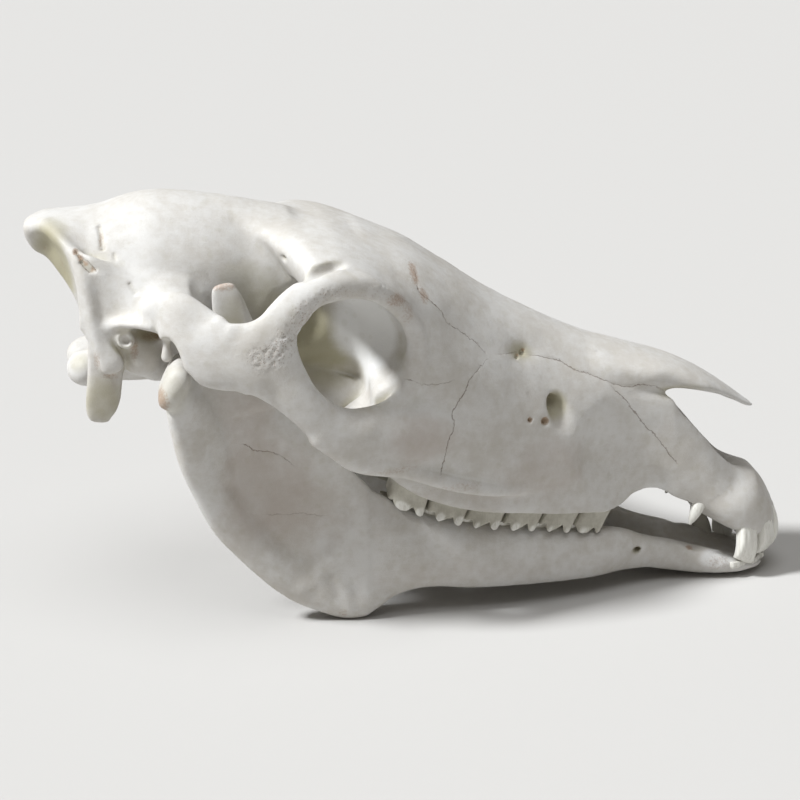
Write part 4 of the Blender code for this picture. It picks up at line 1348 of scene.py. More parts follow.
@dataclass
class Mandible(Bone):
    """The lower jaw: one mass of bone.

    Each field is one stretch of bone or one hollow, of the right side where it is paired.
    """

    body: Shape = Plate(melt=9, rows=(
        (-104, 53, 66, 55, 136, 2.0),
        (-84, 51, 38, 54, 122, 4.2),
        (-62, 50, 15, 53, 104, 6.5),
        (-45, 50, 7, 51, 90, 8),
        (-30, 50, 12, 50, 80, 9.5),
        (-5, 48, 18, 46, 68, 11),
        (30, 45, 14.5, 43, 59.5, 12),
        (60, 42, 13.5, 40, 54, 12),
        (90, 36.5, 12, 35, 48, 11),
        (112, 31, 11.5, 31, 45, 10),
        (130, 25.5, 12, 26, 40.5, 8.5),
        (148, 21, 11, 21.5, 33, 7.0),
        (168, 17, 7, 19.5, 27.5, 6.5),
        (184, 16, 4.5, 21, 23, 7.0),
        (198, 14, 4, 20, 17, 6.5),
    ))
    ramus: Shape = Plate(melt=6, power=3.2, rows=(
        (-161, 74, 144, 76, 162, 5),
        (-155, 69, 117, 75, 168, 4.5),
        (-146, 63, 92, 71, 172, 4),
        (-135, 58, 67, 65, 178, 3.6),
        (-123, 55, 50, 60, 186, 3.6),
        (-109, 53, 34, 58, 182, 3.8),
        (-92, 51, 19, 56, 152, 4.2),
        (-73, 50, 9, 54, 126, 5),
        (-57, 49, 3, 53, 106, 6.5),
        (-44, 49, 4, 52, 90, 8),
    ))
    rim: Shape = Tube(melt=12, rows=(
        (-157, 75, 152, 6, 6.5),
        (-151, 68, 119, 5.5, 7),
        (-141, 63, 95, 5, 8),
        (-129, 58, 72, 5.5, 8.5),
        (-116, 55.5, 56, 6, 8.5),
        (-102, 53.5, 41, 6, 8.5),
        (-86, 51.5, 26, 6.5, 8.5),
        (-69, 50, 16, 7.5, 8),
        (-52, 49, 9.5, 8, 7.5),
        (-40, 49, 14, 7, 7),
    ))
    coronoid: Shape = Tube(melt=6, power=3.2, rows=(
        (-112, 58, 150, 3.8, 20),
        (-117, 58, 172, 4, 16),
        (-123, 58, 194, 4, 12.5),
        (-127.2, 57.5, 211, 3.4, 9.8),
        (-129.2, 57, 218.5, 2.8, 7.8),
        (-129.8, 57, 221.5, 2.4, 6.6),
    ))
    neck: Shape = Tube(melt=9, rows=(
        (-136, 61, 104, 2.5, 6),
        (-142, 65, 126, 3.5, 8),
        (-149, 70, 146, 5, 8.5),
        (-157, 76, 162, 7.5, 7.5),
    ))
    condyle: Shape = Tube(melt=4, hint=(0.42, 0, 0.9), power=2.6, rows=(
        (-157, 58, 172, 11, 7),
        (-159.5, 72, 170, 14.5, 8.2),
        (-161, 86, 169, 14, 7.8),
    ))
    chin: Shape = Loft(melt=8, rows=(
        (140, 19, 16, 12, 12, 2.2, 2.0),
        (158, 18, 14, 8, 20, 2.2, 2.0),
        (178, 18, 13, 3.5, 22, 2.2, 2.2),
        (197, 17, 11, 0.5, 25, 2.2, 2.2),
        (212, 14.5, 9, 1, 26, 2.2, 2.2),
        (224, 11, 8, 3, 22, 2.2, 2.2),
        (231, 9, 7, 4.5, 15, 2.0, 2.0),
    ))
    muscle_hollow: Shape = Ball(melt=18, centre=(-104, 81, 84), sizes=(46, 16, 50), turn=(0, -26, 0))
    chin_scoop: Shape = Ball(melt=5, centre=(186, 0, 27), sizes=(30, 13, 12), turn=(0, 6, 0), paired=False)
    nerve_hole: Shape = Ball(melt=0.8, centre=(139.5, 28, 26.8), sizes=(2, 9, 1.8), turn=(0, 0, 30))
    inner_hole: Shape = Ball(melt=2, centre=(-96, 50, 122), sizes=(5, 5, 7))
    tusk_socket: Shape = Ball(melt=1.2, centre=(180.5, 23, 24.6), sizes=(5.5, 2.6, 2.4), turn=(0, 14, 0))
    muscle_ridges: tuple[Shape, ...] = (
        Tube(melt=6, rows=(
            (-60, 55.5, 74, 3, 3),
            (-59, 56, 62, 3.5, 3),
            (-63, 56, 50, 3, 3),
            (-72, 55.5, 38, 2.5, 3),
        )),
        Tube(melt=5, rows=((-60, 54, 30, 3, 3), (-56, 55, 20, 3.5, 3), (-54, 54, 10, 3, 3))),
        Tube(melt=6, rows=((-84, 55, 26, 2.5, 3), (-74, 55, 30, 3, 3), (-68, 54, 22, 2.5, 3))),
    )
    chin_lip: Shape = Tube(melt=4, rows=(
        (183, 20, 16, 4.5, 5.5),
        (194, 21.5, 12.5, 5, 5.8),
        (204, 21, 10, 4.6, 5),
        (213, 18.5, 9, 4, 4),
    ))

    def lines(self) -> tuple[Line, ...]:
        """The jaw's hairline cracks and the slit of the lost tusk's socket."""
        return (
            Line("seam_a", (
                (-122, -60.5, 124), (-118, -59.5, 122.9), (-112.6, -58.7, 119.1), (-103.4, -58.3, 117.2),
                (-96.2, -58, 114.2), (-88.2, -57.9, 106.6),
            ), 0.15, strength=0.8),
            Line("seam_b", (
                (-108.7, -56.3, 75.9), (-94.5, -56.3, 75.2), (-85.2, -57, 75.7), (-66.9, -58.8, 73.5),
            ), 0.1, strength=0.35),
            Line("none", ((175.5, -24.3, 25.3), (180, -25, 24.2), (185, -25.7, 22.7)), 1.8, 1.0),
        )

    def patches(self) -> tuple[Patch, ...]:
        """Where the jaw is stained, bleached or rough, and where olive painted shade darkens it."""
        return (
            Patch(Mark.RUST, (-172, -88, 162), (8, 14, 11), 0.85),
            # Olive painted shade by the jaw's joint.
            Patch(Mark.PAINTED_SHADE, (-164, -86, 168), (17, 20, 21), 0.4),
            Patch(Mark.ROUGH, (197, -25, 15), (12, 8, 6), 0.45),
            Patch(Mark.RUST, (197, -26, 13), (12, 8, 6), 0.3),
            Patch(Mark.RUST, (-131, -57, 222.5), (9, 7, 3), 0.7),
            Patch(Mark.RUST, (-59, -58.5, 6), (3.5, 6, 5), 0.4),
            Patch(Mark.RUST, (180, -25, 24), (5.5, 5, 1.8), 1.5),
            Patch(Mark.RUST, (193, -22, 22), (3, 6, 2.5), 0.4),
            Patch(Mark.RUST, (-134, -62, 118), (9, 9, 20), 0.18),
            Patch(Mark.ROSE, (-112, -58, 94), (40, 14, 44), 0.6),
            Patch(Mark.ROSE, (-60, -54, 70), (50, 14, 36), 0.3),
            Patch(Mark.ROSE, (-118, -62, 150), (24, 14, 26), 0.5),
            Patch(Mark.ROSE, (10, -56, 28), (70, 14, 14), 0.3),
            Patch(Mark.ROSE, (196, -24, 16), (17, 9, 8), 0.55),
            Patch(Mark.BLEACH, (196, -25, 16), (14, 8, 7), 1.1),
            # Olive painted shade on the coronoid, inside the chin and on the ramus under the cheek.
            Patch(Mark.PAINTED_SHADE, (-125, -58, 200), (12, 8, 22), 0.5),
            Patch(Mark.PAINTED_SHADE, (140, -20, 34), (30, 12, 8), 0.3),
            Patch(Mark.PAINTED_SHADE, (-82, -52, 120), (16, 8, 14), 0.4),
        )

    def dents(self) -> tuple[tuple[Point, Point, float], ...]:
        """The jaw's small hollows."""
        return (
            ((203, -20, 19), (2, 4, 2), 1.2),
            ((211, -16, 17), (1.5, 4, 1.5), 0.9),
        )

    def modelled(self) -> Clay:
        """Melts the stretches of bone together and carves the hollows.

        Returns:
            The block of distances.
        """
        clay = Clay((-182, -104, -8), (244, 12, 234), self.cell)
        clay.add(self.body, self.ramus)
        clay.carve(self.muscle_hollow)
        clay.add(self.rim, self.neck, self.condyle, self.coronoid)
        clay.add(*self.muscle_ridges)
        clay.add(self.chin, self.chin_lip)
        clay.carve(self.chin_scoop, self.nerve_hole, self.inner_hole, self.tusk_socket)
        clay.soften()
        return clay


# Teeth

# Where the cheek teeth meet, as x and height, and where the upper row's outer faces stand, as x
# and distance from the midline.
BITE = (
    (-32, 82), (-22, 78), (-14, 74.5), (-3, 71), (9, 67.3), (22, 63.8), (45, 59.8), (73, 55.8), (91, 52),
    (108, 48.7),
)
ROW = ((-30, 54.5), (-5, 55.3), (18, 55.2), (42, 53.8), (66, 50), (90, 44.2), (108, 39), (122, 35.5))
# How far from the bite a cheek tooth goes on leaning, in millimetres.
LEANING = 9.0

# A cheek tooth's section: points round it, squareness, and how soon its sides count as outer face.
TOOTH_ROUND = 96
TOOTH_POWER = 4.5
OUTER_GAIN = 1.6
# The reach of a ridge's half circle, in its widths.
DOME_WIDTH = 1.3
# Rings down a cheek tooth, then the shares of its section and the depths of those that close it.
TOOTH_RINGS = 22
CLOSING_SHARES = (0.97, 0.86, 0.6, 0.35, 0.12)
CLOSING_DEPTHS = (0.25, 0.9, 1.5, 1.2, 1.0)
RIM_SHARE = 0.9
# Where along a cheek tooth its ridges start to stand out and over what share they grow.
RIDGE_START = 0.5
RIDGE_GROWTH = 0.38
# How much shorter than its outer face a cheek tooth's inner face is.
INNER_SHORT = 1.5
# A front tooth: points round it, steps between its levels, the grooves' places, widths and depths
# as shares of the section, where its front face starts, how deep the grooves are cut, and the
# shares of the rings that close it.
FRONT_ROUND = 64
FRONT_STEPS = 8
FRONT_GROOVES = ((0.3, 0.16, 1.0), (-0.45, 0.14, 0.6))
FRONT_FACE = 0.4
FRONT_CUT = 0.1
FRONT_CLOSING = (0.9, 0.55)


def bite_height(x: Array) -> Array:
    """Height of the line where the cheek teeth meet, drawn straight between the table's points."""
    return np.interp(x, *np.array(BITE, float).T)


def row_width(x: Array) -> Array:
    """How far the upper cheek teeth's outer faces stand from the midline, between the table's points."""
    return np.interp(x, *np.array(ROW, float).T)


def facing_out(skin: Skin) -> Skin:
    """Turns a skin's faces outwards, told by the sign of the volume that they enclose.

    Args:
        skin: The closed skin.

    Returns:
        The same skin, its faces turned round if the volume was below zero.
    """
    corners = np.vstack([skin.quads[:, [0, 1, 2]], skin.quads[:, [0, 2, 3]], skin.fans])
    a, b, c = (skin.points[corners[:, i]] for i in range(3))
    if np.einsum("ij,ij->", a, np.cross(b, c)) > 0:
        return skin
    return Skin(skin.points, skin.quads[:, ::-1], skin.fans[:, ::-1])


@dataclass(frozen=True)
class CheekTooth:
    """A tall squarish tooth with enamel ridges down its outer face.

    Attributes:
        x: Middle of its chewing face along the row.
        width: Its size across the row.
        upper: Whether it grows from the upper jaw.
        lean: How far forward it moves for each millimetre up, near the bite.
        inset: How far its outer face stands in from the upper row's.
        half_long: Half its size along the row.
        ridges: Ridges of the outer face: place and width as shares of the half size along the row,
            how far each stands out, how far it reaches past the chewing face and how white it is.
        root: How far it goes into the bone from the bite.
        gap: How far the chewing face stops short of the bite.
    """

    x: float
    width: float
    upper: bool
    lean: float
    inset: float = 0.0
    half_long: float = 12.0
    ridges: Rows = ((0.45, 0.3, 1.2, 0.6, 0.6), (-0.5, 0.3, 1.2, 0.6, 0.6))
    root: float = 17.0
    gap: float = 0.6

    def skin(self, side: Side) -> tuple[Skin, Array]:
        """Works out the tooth's surface.

        At (t, a) the outline's shares along and across are a superellipse's. Each ridge adds a
        bell, exp(-|(along - place) / width|^3), to the outer face over its last stretch, and a half
        circle to the end. The rings run from the root to the end and then shrink inwards.

        Args:
            side: The side that it stands on.

        Returns:
            The skin and, for each of its points, how much of it is enamel.
        """
        along, across = rounded(np.linspace(0, 2 * math.pi, TOOTH_ROUND, endpoint=False), TOOTH_POWER)
        outside = np.clip(across * OUTER_GAIN, 0, 1)
        stand = reach = enamel = np.zeros(TOOTH_ROUND)
        for place, wide, stands, reaches, white in self.ridges:
            bell = np.exp(-(np.abs((along - place) / wide) ** 3)) * outside
            dome = np.sqrt(np.clip(1 - ((along - place) / (DOME_WIDTH * wide)) ** 2, 0, 1)) * outside
            stand = stand + bell * stands
            reach = reach + dome * reaches
            enamel = enamel + bell * white
        enamel = np.clip(enamel, 0, 1)
        way = 1.0 if self.upper else -1.0
        t = np.concatenate([np.linspace(0, 1, TOOTH_RINGS), np.ones(len(CLOSING_SHARES))])[:, None]
        shrink = np.concatenate([np.ones(TOOTH_RINGS), CLOSING_SHARES])[:, None]
        cup = np.concatenate([np.zeros(TOOTH_RINGS), CLOSING_DEPTHS])[:, None]
        rim = shrink > RIM_SHARE
        late = np.clip((t - RIDGE_START) / RIDGE_GROWTH, 0, 1) ** 2
        out = across[None, :] * shrink * self.width / 2 + stand[None, :] * shrink * (0.12 + 0.88 * late)
        share = along[None, :] * shrink
        base = self.x + share * self.half_long
        bite = bite_height(base)
        short = self.gap + cup + (1 - outside[None, :]) * INNER_SHORT
        end = bite + way * short - way * reach[None, :] * rim
        root = bite + way * self.root
        z = root + (end - root) * t
        x = base + self.lean * np.clip(z - bite, -LEANING, LEANING)
        y = (row_width(x) - self.inset - self.width / 2 + out) * side.value
        made = facing_out(skin_of(np.stack([x, y, z], axis=-1)))
        mask = np.append((enamel[None, :] * rim * (0.1 + 0.9 * late)).ravel(), [0.0, 0.0])
        return made, mask


@dataclass(frozen=True)
class FrontTooth:
    """A flat curved front tooth on the arch of the mouth.

    Attributes:
        angle: Where it stands on the arch, in degrees from the midline.
        slope: How much lower its front edge ends than its middle.
        lift: How much higher it ends than the levels say.
        centre: The arch's middle along X.
        reach: The arch's size forwards.
        half_width: The arch's size sideways.
        levels: Height, how far out it stands from the arch, half width and half thickness.
        power: Squareness of its section.
    """

    angle: float
    slope: float
    lift: float
    centre: float
    reach: float
    half_width: float
    levels: Rows
    power: float = 3.2

    def skin(self, side: Side) -> tuple[Skin, Array]:
        """Works out the tooth's surface.

        At (h, a) the point is the arch's place at the angle, plus the outward direction times how
        far the level stands out and the section's share up, plus the direction along the arch
        times the share across. Two shallow grooves run down the front face.

        Args:
            side: The side that it stands on.

        Returns:
            The skin and, for each of its points, how much of it is enamel.
        """
        a = math.radians(self.angle)
        ahead, aside = math.cos(a), math.sin(a)
        base = np.array([self.centre + self.reach * ahead, self.half_width * aside * side.value, 0.0])
        out = np.array([ahead, aside * side.value, 0.0])
        along = np.array([-out[1], out[0], 0.0])
        z, stand, half, thick = flowing(self.levels, FRONT_STEPS).T[:, :, None]
        across, up = rounded(np.linspace(0, 2 * math.pi, FRONT_ROUND, endpoint=False), self.power)
        drop = (z - z[0]) / (z[-1] - z[0]) * (self.slope * across * side.value + self.lift)
        groove = np.zeros(FRONT_ROUND)
        for place, wide, depth in FRONT_GROOVES:
            groove = groove + depth * np.exp(-(((across - place) / wide) ** 2))
        deep = (up - FRONT_CUT * (groove * (up > FRONT_FACE)))[None, :] * thick
        rings = (
            base
            + out * (stand + deep)[..., None]
            + along * (across[None, :] * half)[..., None]
            + np.array([0.0, 0.0, 1.0]) * (z + drop)[..., None]
        )
        for shrink in FRONT_CLOSING:
            last = rings[-1]
            middle = last.mean(axis=0)
            rings = np.vstack([rings, (middle + (last - middle) * shrink)[None]])
        made = facing_out(skin_of(rings))
        return made, np.ones(len(made.points))


@dataclass
class Teeth:
    """All the teeth: six cheek teeth and three front teeth in each quarter, and three tusks.

    The lower jaw has lost its right tusk.

    Attributes:
        upper_rows: x, lean, half size along the row, how wide the middle ridge is, and how white
            the middle and the front ridge are.
        lower_rows: x and lean.
        upper_levels: A front tooth's height, way out, half width and half thickness.
        lower_levels: The same for a lower one.
        front_rows: Angle on the arch, slope and lift.
        upper_arch: The arch's middle along X, size forwards and size sideways.
        lower_arch: The same for the lower jaw.
        lower_tusk: x, y, z, half size across and half size along.
        tusk: The same for an upper one.
        widths: Sizes across of an upper and a lower cheek tooth.
        lower_inset: How far the lower cheek teeth stand in from the upper ones.
        lower_gap: How far the lower cheek teeth stop short of the bite.
        tusk_white: How white the lower tusk is.
    """

    upper_rows: Rows = (
        (-17.8, 0.3, 12, 1.9, 1.0, 0.9),
        (7, 0.45, 12.3, 1.2, 1.0, 1.0),
        (31, 0.5, 12.2, 1.2, 0.6, 1.0),
        (56, 0.55, 12.4, 1.3, 0.85, 0.6),
        (80.5, 0.6, 12.2, 1.3, 0.55, 0.5),
        (103.5, 0.6, 11, 2.2, 0.55, 0.4),
    )
    lower_rows: Rows = ((-20, 0.2), (4, 0.3), (28, 0.4), (52, 0.5), (77, 0.6), (101, 0.7))
    upper_levels: Rows = (
        (46, -4, 6.2, 5),
        (34, -0.5, 6.9, 5.2),
        (24, 0.8, 7.2, 4.8),
        (16, -0.5, 7.2, 3.8),
        (11.5, -3, 6.8, 2.6),
    )
    lower_levels: Rows = ((2.5, -13, 4.5, 3.2), (5.5, -5, 5.8, 4), (9, -0.5, 6.4, 4), (12.5, 0.5, 6.4, 2.6))
    front_rows: Rows = ((16, 0.0, 4.5), (43, 1.2, 3.5), (70, 3.6, 0.0))
    lower_tusk: Rows = (
        (201.5, 19, 6, 4.4, 5.4),
        (200.5, 21, 14, 4.4, 6.2),
        (198.5, 23, 22, 4.2, 6),
        (195.5, 24.5, 28.5, 3.2, 4.6),
        (193, 25, 33, 1.2, 1.5),
    )
    tusk: Rows = (
        (189, 18, 66, 4, 4.6),
        (184, 22.5, 59, 3.8, 4.5),
        (179.5, 26, 52, 3.5, 4),
        (176.5, 27.5, 46.5, 2.3, 2.7),
        (174.8, 28, 43, 0.9, 1.0),
    )
    upper_arch: Point = (203.0, 36.0, 26.5)
    lower_arch: Point = (199.0, 33.5, 24.5)
    widths: tuple[float, float] = (22.0, 14.0)
    lower_inset: float = 7.5
    lower_gap: float = 1.2
    tusk_white: float = 0.4

    def build(self) -> list[bpy.types.Object]:
        """Builds every tooth on both sides.

        Returns:
            The pieces.
        """
        made = []
        for side in Side:
            word = side.name.lower()
            for number, (x, lean, half, fat, middle, front) in enumerate(self.upper_rows, 1):
                ridges = (
                    (0.72, 0.26, 2.2, 4.2, front),
                    (-0.25, 0.2 * fat, 2.2, 4.1, middle),
                    (-0.92, 0.1, 0.6, 0.8, 0.2),
                )
                tooth = CheekTooth(x, self.widths[0], True, lean, half_long=half, ridges=ridges)
                made.append(self._piece("upper_cheek_tooth_%d_%s" % (number, word), *tooth.skin(side)))
            for number, (x, lean) in enumerate(self.lower_rows, 1):
                tooth = CheekTooth(x, self.widths[1], False, lean, self.lower_inset, gap=self.lower_gap)
                made.append(self._piece("lower_cheek_tooth_%d_%s" % (number, word), *tooth.skin(side)))
            for number, (angle, slope, lift) in enumerate(self.front_rows, 1):
                tooth = FrontTooth(angle, slope, lift, *self.upper_arch, self.upper_levels)
                made.append(self._piece("upper_front_tooth_%d_%s" % (number, word), *tooth.skin(side)))
                tooth = FrontTooth(angle, 0.0, 0.0, *self.lower_arch, self.lower_levels)
                made.append(self._piece("lower_front_tooth_%d_%s" % (number, word), *tooth.skin(side)))
            skin = facing_out(Tube(rows=self.tusk).skin(side))
            made.append(self._piece("upper_tusk_" + word, skin, np.ones(len(skin.points))))
        skin = facing_out(Tube(rows=self.lower_tusk).skin(Side.LEFT))
        made.append(self._piece("lower_tusk_left", skin, np.full(len(skin.points), self.tusk_white)))
        return made

    def _piece(self, name: str, skin: Skin, enamel: Array) -> bpy.types.Object:
        """Puts a tooth in a mesh and stores its enamel mask.

        Args:
            name: The piece's name.
            skin: The tooth's skin.
            enamel: Its mask.

        Returns:
            The piece.
        """
        piece = put_in_mesh(name, skin.points + SHIFT, skin.quads, skin.fans)
        paint(piece, "enamel", enamel)
        return piece


# Finishes

Value = float | Sequence[float] | bpy.types.NodeSocket
Colour = tuple[float, float, float, float]


class Graph:
    """Adds nodes to a tree and joins them."""

    def __init__(self, tree: bpy.types.NodeTree) -> None:
        """Keeps the tree."""
        self.tree = tree

    def node(
        self, kind: str, inputs: dict[str | int, Value] | None = None, **settings: object
    ) -> bpy.types.Node:
        """Adds a node.

        Args:
            kind: Its type.
            inputs: Values or sockets for its inputs.
            settings: Its properties.

        Returns:
            The node.
        """
        made = self.tree.nodes.new(kind)
        for key, value in settings.items():
            setattr(made, key, value)
        for key, value in (inputs or {}).items():
            if isinstance(value, bpy.types.NodeSocket):
                self.tree.links.new(value, made.inputs[key])
            else:
                made.inputs[key].default_value = value
        return made

    def math(self, operation: str, a: Value, b: Value = 0.0, clamp: bool = False) -> bpy.types.NodeSocket:
        """Adds a sum of two values and gives its result."""
        return self.node("ShaderNodeMath", {0: a, 1: b}, operation=operation, use_clamp=clamp).outputs[0]

    def mix(self, share: Value, a: Value, b: Value, blend: str = "MIX") -> bpy.types.NodeSocket:
        """Mixes two colours and gives the result."""
        made = self.node("ShaderNodeMix", {0: share, 6: a, 7: b}, data_type="RGBA", blend_type=blend)
        return made.outputs[2]

    def ramp(self, value: Value, low: Value, high: Value, top: Value = 1.0) -> bpy.types.NodeSocket:
        """Turns a value into a soft step from 0 at low to top at high."""
        inputs = {"Value": value, "From Min": low, "From Max": high, "To Max": top}
        return self.node("ShaderNodeMapRange", inputs, interpolation_type="SMOOTHSTEP").outputs[0]

    def noise(
        self, vector: Value, scale: Value, detail: float = 3.0, roughness: float = 0.5
    ) -> bpy.types.NodeSocket:
        """Adds noise and gives its value."""
        inputs = {"Vector": vector, "Scale": scale, "Detail": detail, "Roughness": roughness}
        return self.node("ShaderNodeTexNoise", inputs).outputs["Fac"]

    def mask(self, name: str) -> bpy.types.NodeSocket:
        """Reads a mask that is stored at the mesh's points."""
        return self.node("ShaderNodeAttribute", attribute_name=name).outputs["Fac"]

    def millimetres(self) -> bpy.types.NodeSocket:
        """Reads the place on the piece, in millimetres."""
        place = self.node("ShaderNodeTexCoord").outputs["Object"]
        return self.node("ShaderNodeVectorMath", {0: place, 3: 1000.0}, operation="SCALE").outputs[0]


def group(
    name: str, inputs: dict[str, float | None], outputs: dict[str, str]
) -> tuple[bpy.types.NodeTree, Graph, dict[str, bpy.types.NodeSocket]]:
    """Starts a shader node group.

    Args:
        name: The group's name.
        inputs: Its inputs' names and defaults; None makes a vector.
        outputs: Its outputs' names and socket types.

    Returns:
        The group, its graph and its input sockets by name.
    """
    tree = bpy.data.node_groups.new(name, "ShaderNodeTree")
    for key, value in inputs.items():
        kind = "NodeSocketVector" if value is None else "NodeSocketFloat"
        socket = tree.interface.new_socket(name=key, in_out="INPUT", socket_type=kind)
        if value is not None:
            socket.default_value = value
    for key, kind in outputs.items():
        tree.interface.new_socket(name=key, in_out="OUTPUT", socket_type=kind)
    graph = Graph(tree)
    given = graph.node("NodeGroupInput").outputs
    return tree, graph, {key: given[key] for key in inputs}


class Effects:
    """The node groups that the finishes share."""

    def __init__(self) -> None:
        """Builds each group once."""
        self.grain = self._grain()
        self.seam = self._seam()
        self.pores = self._pores()
        self.stain = self._ragged_mask()

    def use(
        self, graph: Graph, tree: bpy.types.NodeTree, **inputs: Value
    ) -> dict[str, bpy.types.NodeSocket]:
        """Places a group in a graph.

        Args:
            graph: The graph.
            tree: The group.
            inputs: Values or sockets for its inputs.

        Returns:
            Its output sockets by name.
        """
        made = graph.node("ShaderNodeGroup", inputs, node_tree=tree)
        return {socket.name: socket for socket in made.outputs}

    @staticmethod
    def _grain() -> bpy.types.NodeTree:
        """Mottling and fine fibres of dry bone: broad clouds, mid blotches and streaks along X."""
        tree, g, given = group(
            "bone_grain",
            {"Place": None, "Size": 1.0, "Streaks": 0.5},
            {"Shade": "NodeSocketFloat", "Height": "NodeSocketFloat"},
        )
        sized = {0: given["Place"], 3: given["Size"]}
        place = g.node("ShaderNodeVectorMath", sized, operation="SCALE").outputs[0]
        stretched = g.node("ShaderNodeMapping", {"Vector": place, "Scale": (0.16, 1.0, 1.0)}).outputs[0]
        clouds = g.noise(place, 0.03, 2.0)
        blotches = g.noise(place, 0.16, 4.0, 0.6)
        fine = g.noise(place, 1.3, 3.0, 0.65)
        streaks = g.noise(stretched, 0.9, 3.0, 0.6)
        shade = g.math("ADD", g.math("MULTIPLY", clouds, 0.45), g.math("MULTIPLY", blotches, 0.35))
        shade = g.math("ADD", shade, g.math("MULTIPLY", fine, 0.12))
        shade = g.math("ADD", shade, g.math("MULTIPLY", streaks, 0.08))
        height = g.math("ADD", g.math("MULTIPLY", fine, 0.17), g.math("MULTIPLY", blotches, 0.22))
        fibres = g.math("MULTIPLY", g.math("MULTIPLY", streaks, 0.16), given["Streaks"])
        height = g.math("ADD", height, fibres)
        g.node("NodeGroupOutput", {"Shade": g.ramp(shade, 0.36, 0.64), "Height": height})
        return tree

    @staticmethod
    def _seam() -> bpy.types.NodeTree:
        """A thin wavering line where a signed distance is zero, broken here and there."""
        tree, g, given = group(
            "seam_line",
            {"Place": None, "Distance": 9.0, "Strength": 0.0, "Width": 0.42, "Waver": 2.4},
            {"Mask": "NodeSocketFloat", "Height": "NodeSocketFloat"},
        )
        broad = g.math("SUBTRACT", g.noise(given["Place"], 0.16, 2.0), 0.5)
        broad = g.math("MULTIPLY", broad, given["Waver"])
        teeth = g.math("SUBTRACT", g.noise(given["Place"], 0.55, 2.0), 0.5)
        teeth = g.math("MULTIPLY", teeth, given["Waver"])
        moved = g.math("ADD", given["Distance"], g.math("ADD", broad, teeth))
        away = g.math("ABSOLUTE", moved)
        uneven = g.math("MULTIPLY", g.noise(given["Place"], 0.35, 2.0), 1.4)
        thick = g.math("MULTIPLY", given["Width"], g.math("ADD", 0.35, uneven))
        line = g.math("SUBTRACT", 1.0, g.ramp(away, g.math("MULTIPLY", thick, 0.35), thick))
        broken = g.ramp(g.noise(given["Place"], 0.11, 3.0), 0.32, 0.46)
        drawn = g.math("MULTIPLY", line, given["Strength"], True)
        mask = g.math("MULTIPLY", drawn, g.math("ADD", 0.3, g.math("MULTIPLY", broken, 0.7)), True)
        g.node("NodeGroupOutput", {"Mask": mask, "Height": g.math("MULTIPLY", mask, -0.3)})
        return tree

    @staticmethod
    def _pores() -> bpy.types.NodeTree:
        """Small round pores at random points, of random sizes."""
        tree, g, given = group(
            "pores",
            {"Place": None, "Size": 2.0, "Amount": 1.0},
            {"Mask": "NodeSocketFloat", "Height": "NodeSocketFloat"},
        )
        scale = g.math("DIVIDE", 1.0, given["Size"])
        cells = g.node("ShaderNodeTexVoronoi", {"Vector": given["Place"], "Scale": scale, "Randomness": 1.0})
        reach = g.math("MULTIPLY", g.ramp(g.noise(given["Place"], scale, 1.0), 0.25, 0.7), 0.5)
        solid = g.ramp(cells.outputs["Distance"], g.math("MULTIPLY", reach, 0.5), reach)
        hole = g.math("SUBTRACT", 1.0, solid)
        mask = g.math("MULTIPLY", hole, given["Amount"], True)
        g.node("NodeGroupOutput", {"Mask": mask, "Height": g.math("MULTIPLY", mask, -0.5)})
        return tree

    @staticmethod
    def _ragged_mask() -> bpy.types.NodeTree:
        """A mask whose edge is eaten by noise."""
        tree, g, given = group(
            "stain",
            {"Place": None, "Mask": 0.0, "Size": 6.0, "Ragged": 0.6},
            {"Mask": "NodeSocketFloat"},
        )
        scale = g.math("DIVIDE", 1.0, given["Size"])
        cloud = g.math("SUBTRACT", g.noise(given["Place"], scale, 5.0, 0.65), 0.5)
        eaten = g.math("ADD", given["Mask"], g.math("MULTIPLY", cloud, given["Ragged"]))
        frayed = g.ramp(eaten, 0.12, 0.85)
        g.node("NodeGroupOutput", {"Mask": g.math("MULTIPLY", frayed, g.ramp(given["Mask"], 0.02, 0.3), True)})
        return tree


# Each mark's ragged spread, for stains, painted shade and painted light alike: millimetres across its
# patches, how ragged it is, and its most.
RAGGED_MARKS = {
    Mark.PAINTED_SHADE: (12.0, 0.35, 0.85),
    Mark.ROSE: (9.0, 0.6, 0.8),
    Mark.BLEACH: (7.0, 0.35, 0.9),
    Mark.RUST: (1.4, 1.5, 0.62),
}
# How strongly the seams, pores and specks colour the bone, and what one unit of height is, in metres.
SEAM_TINT = 0.7
PORE_TINT = 0.5
SPECK_TINT = 0.16
BUMP_UNIT = 0.001


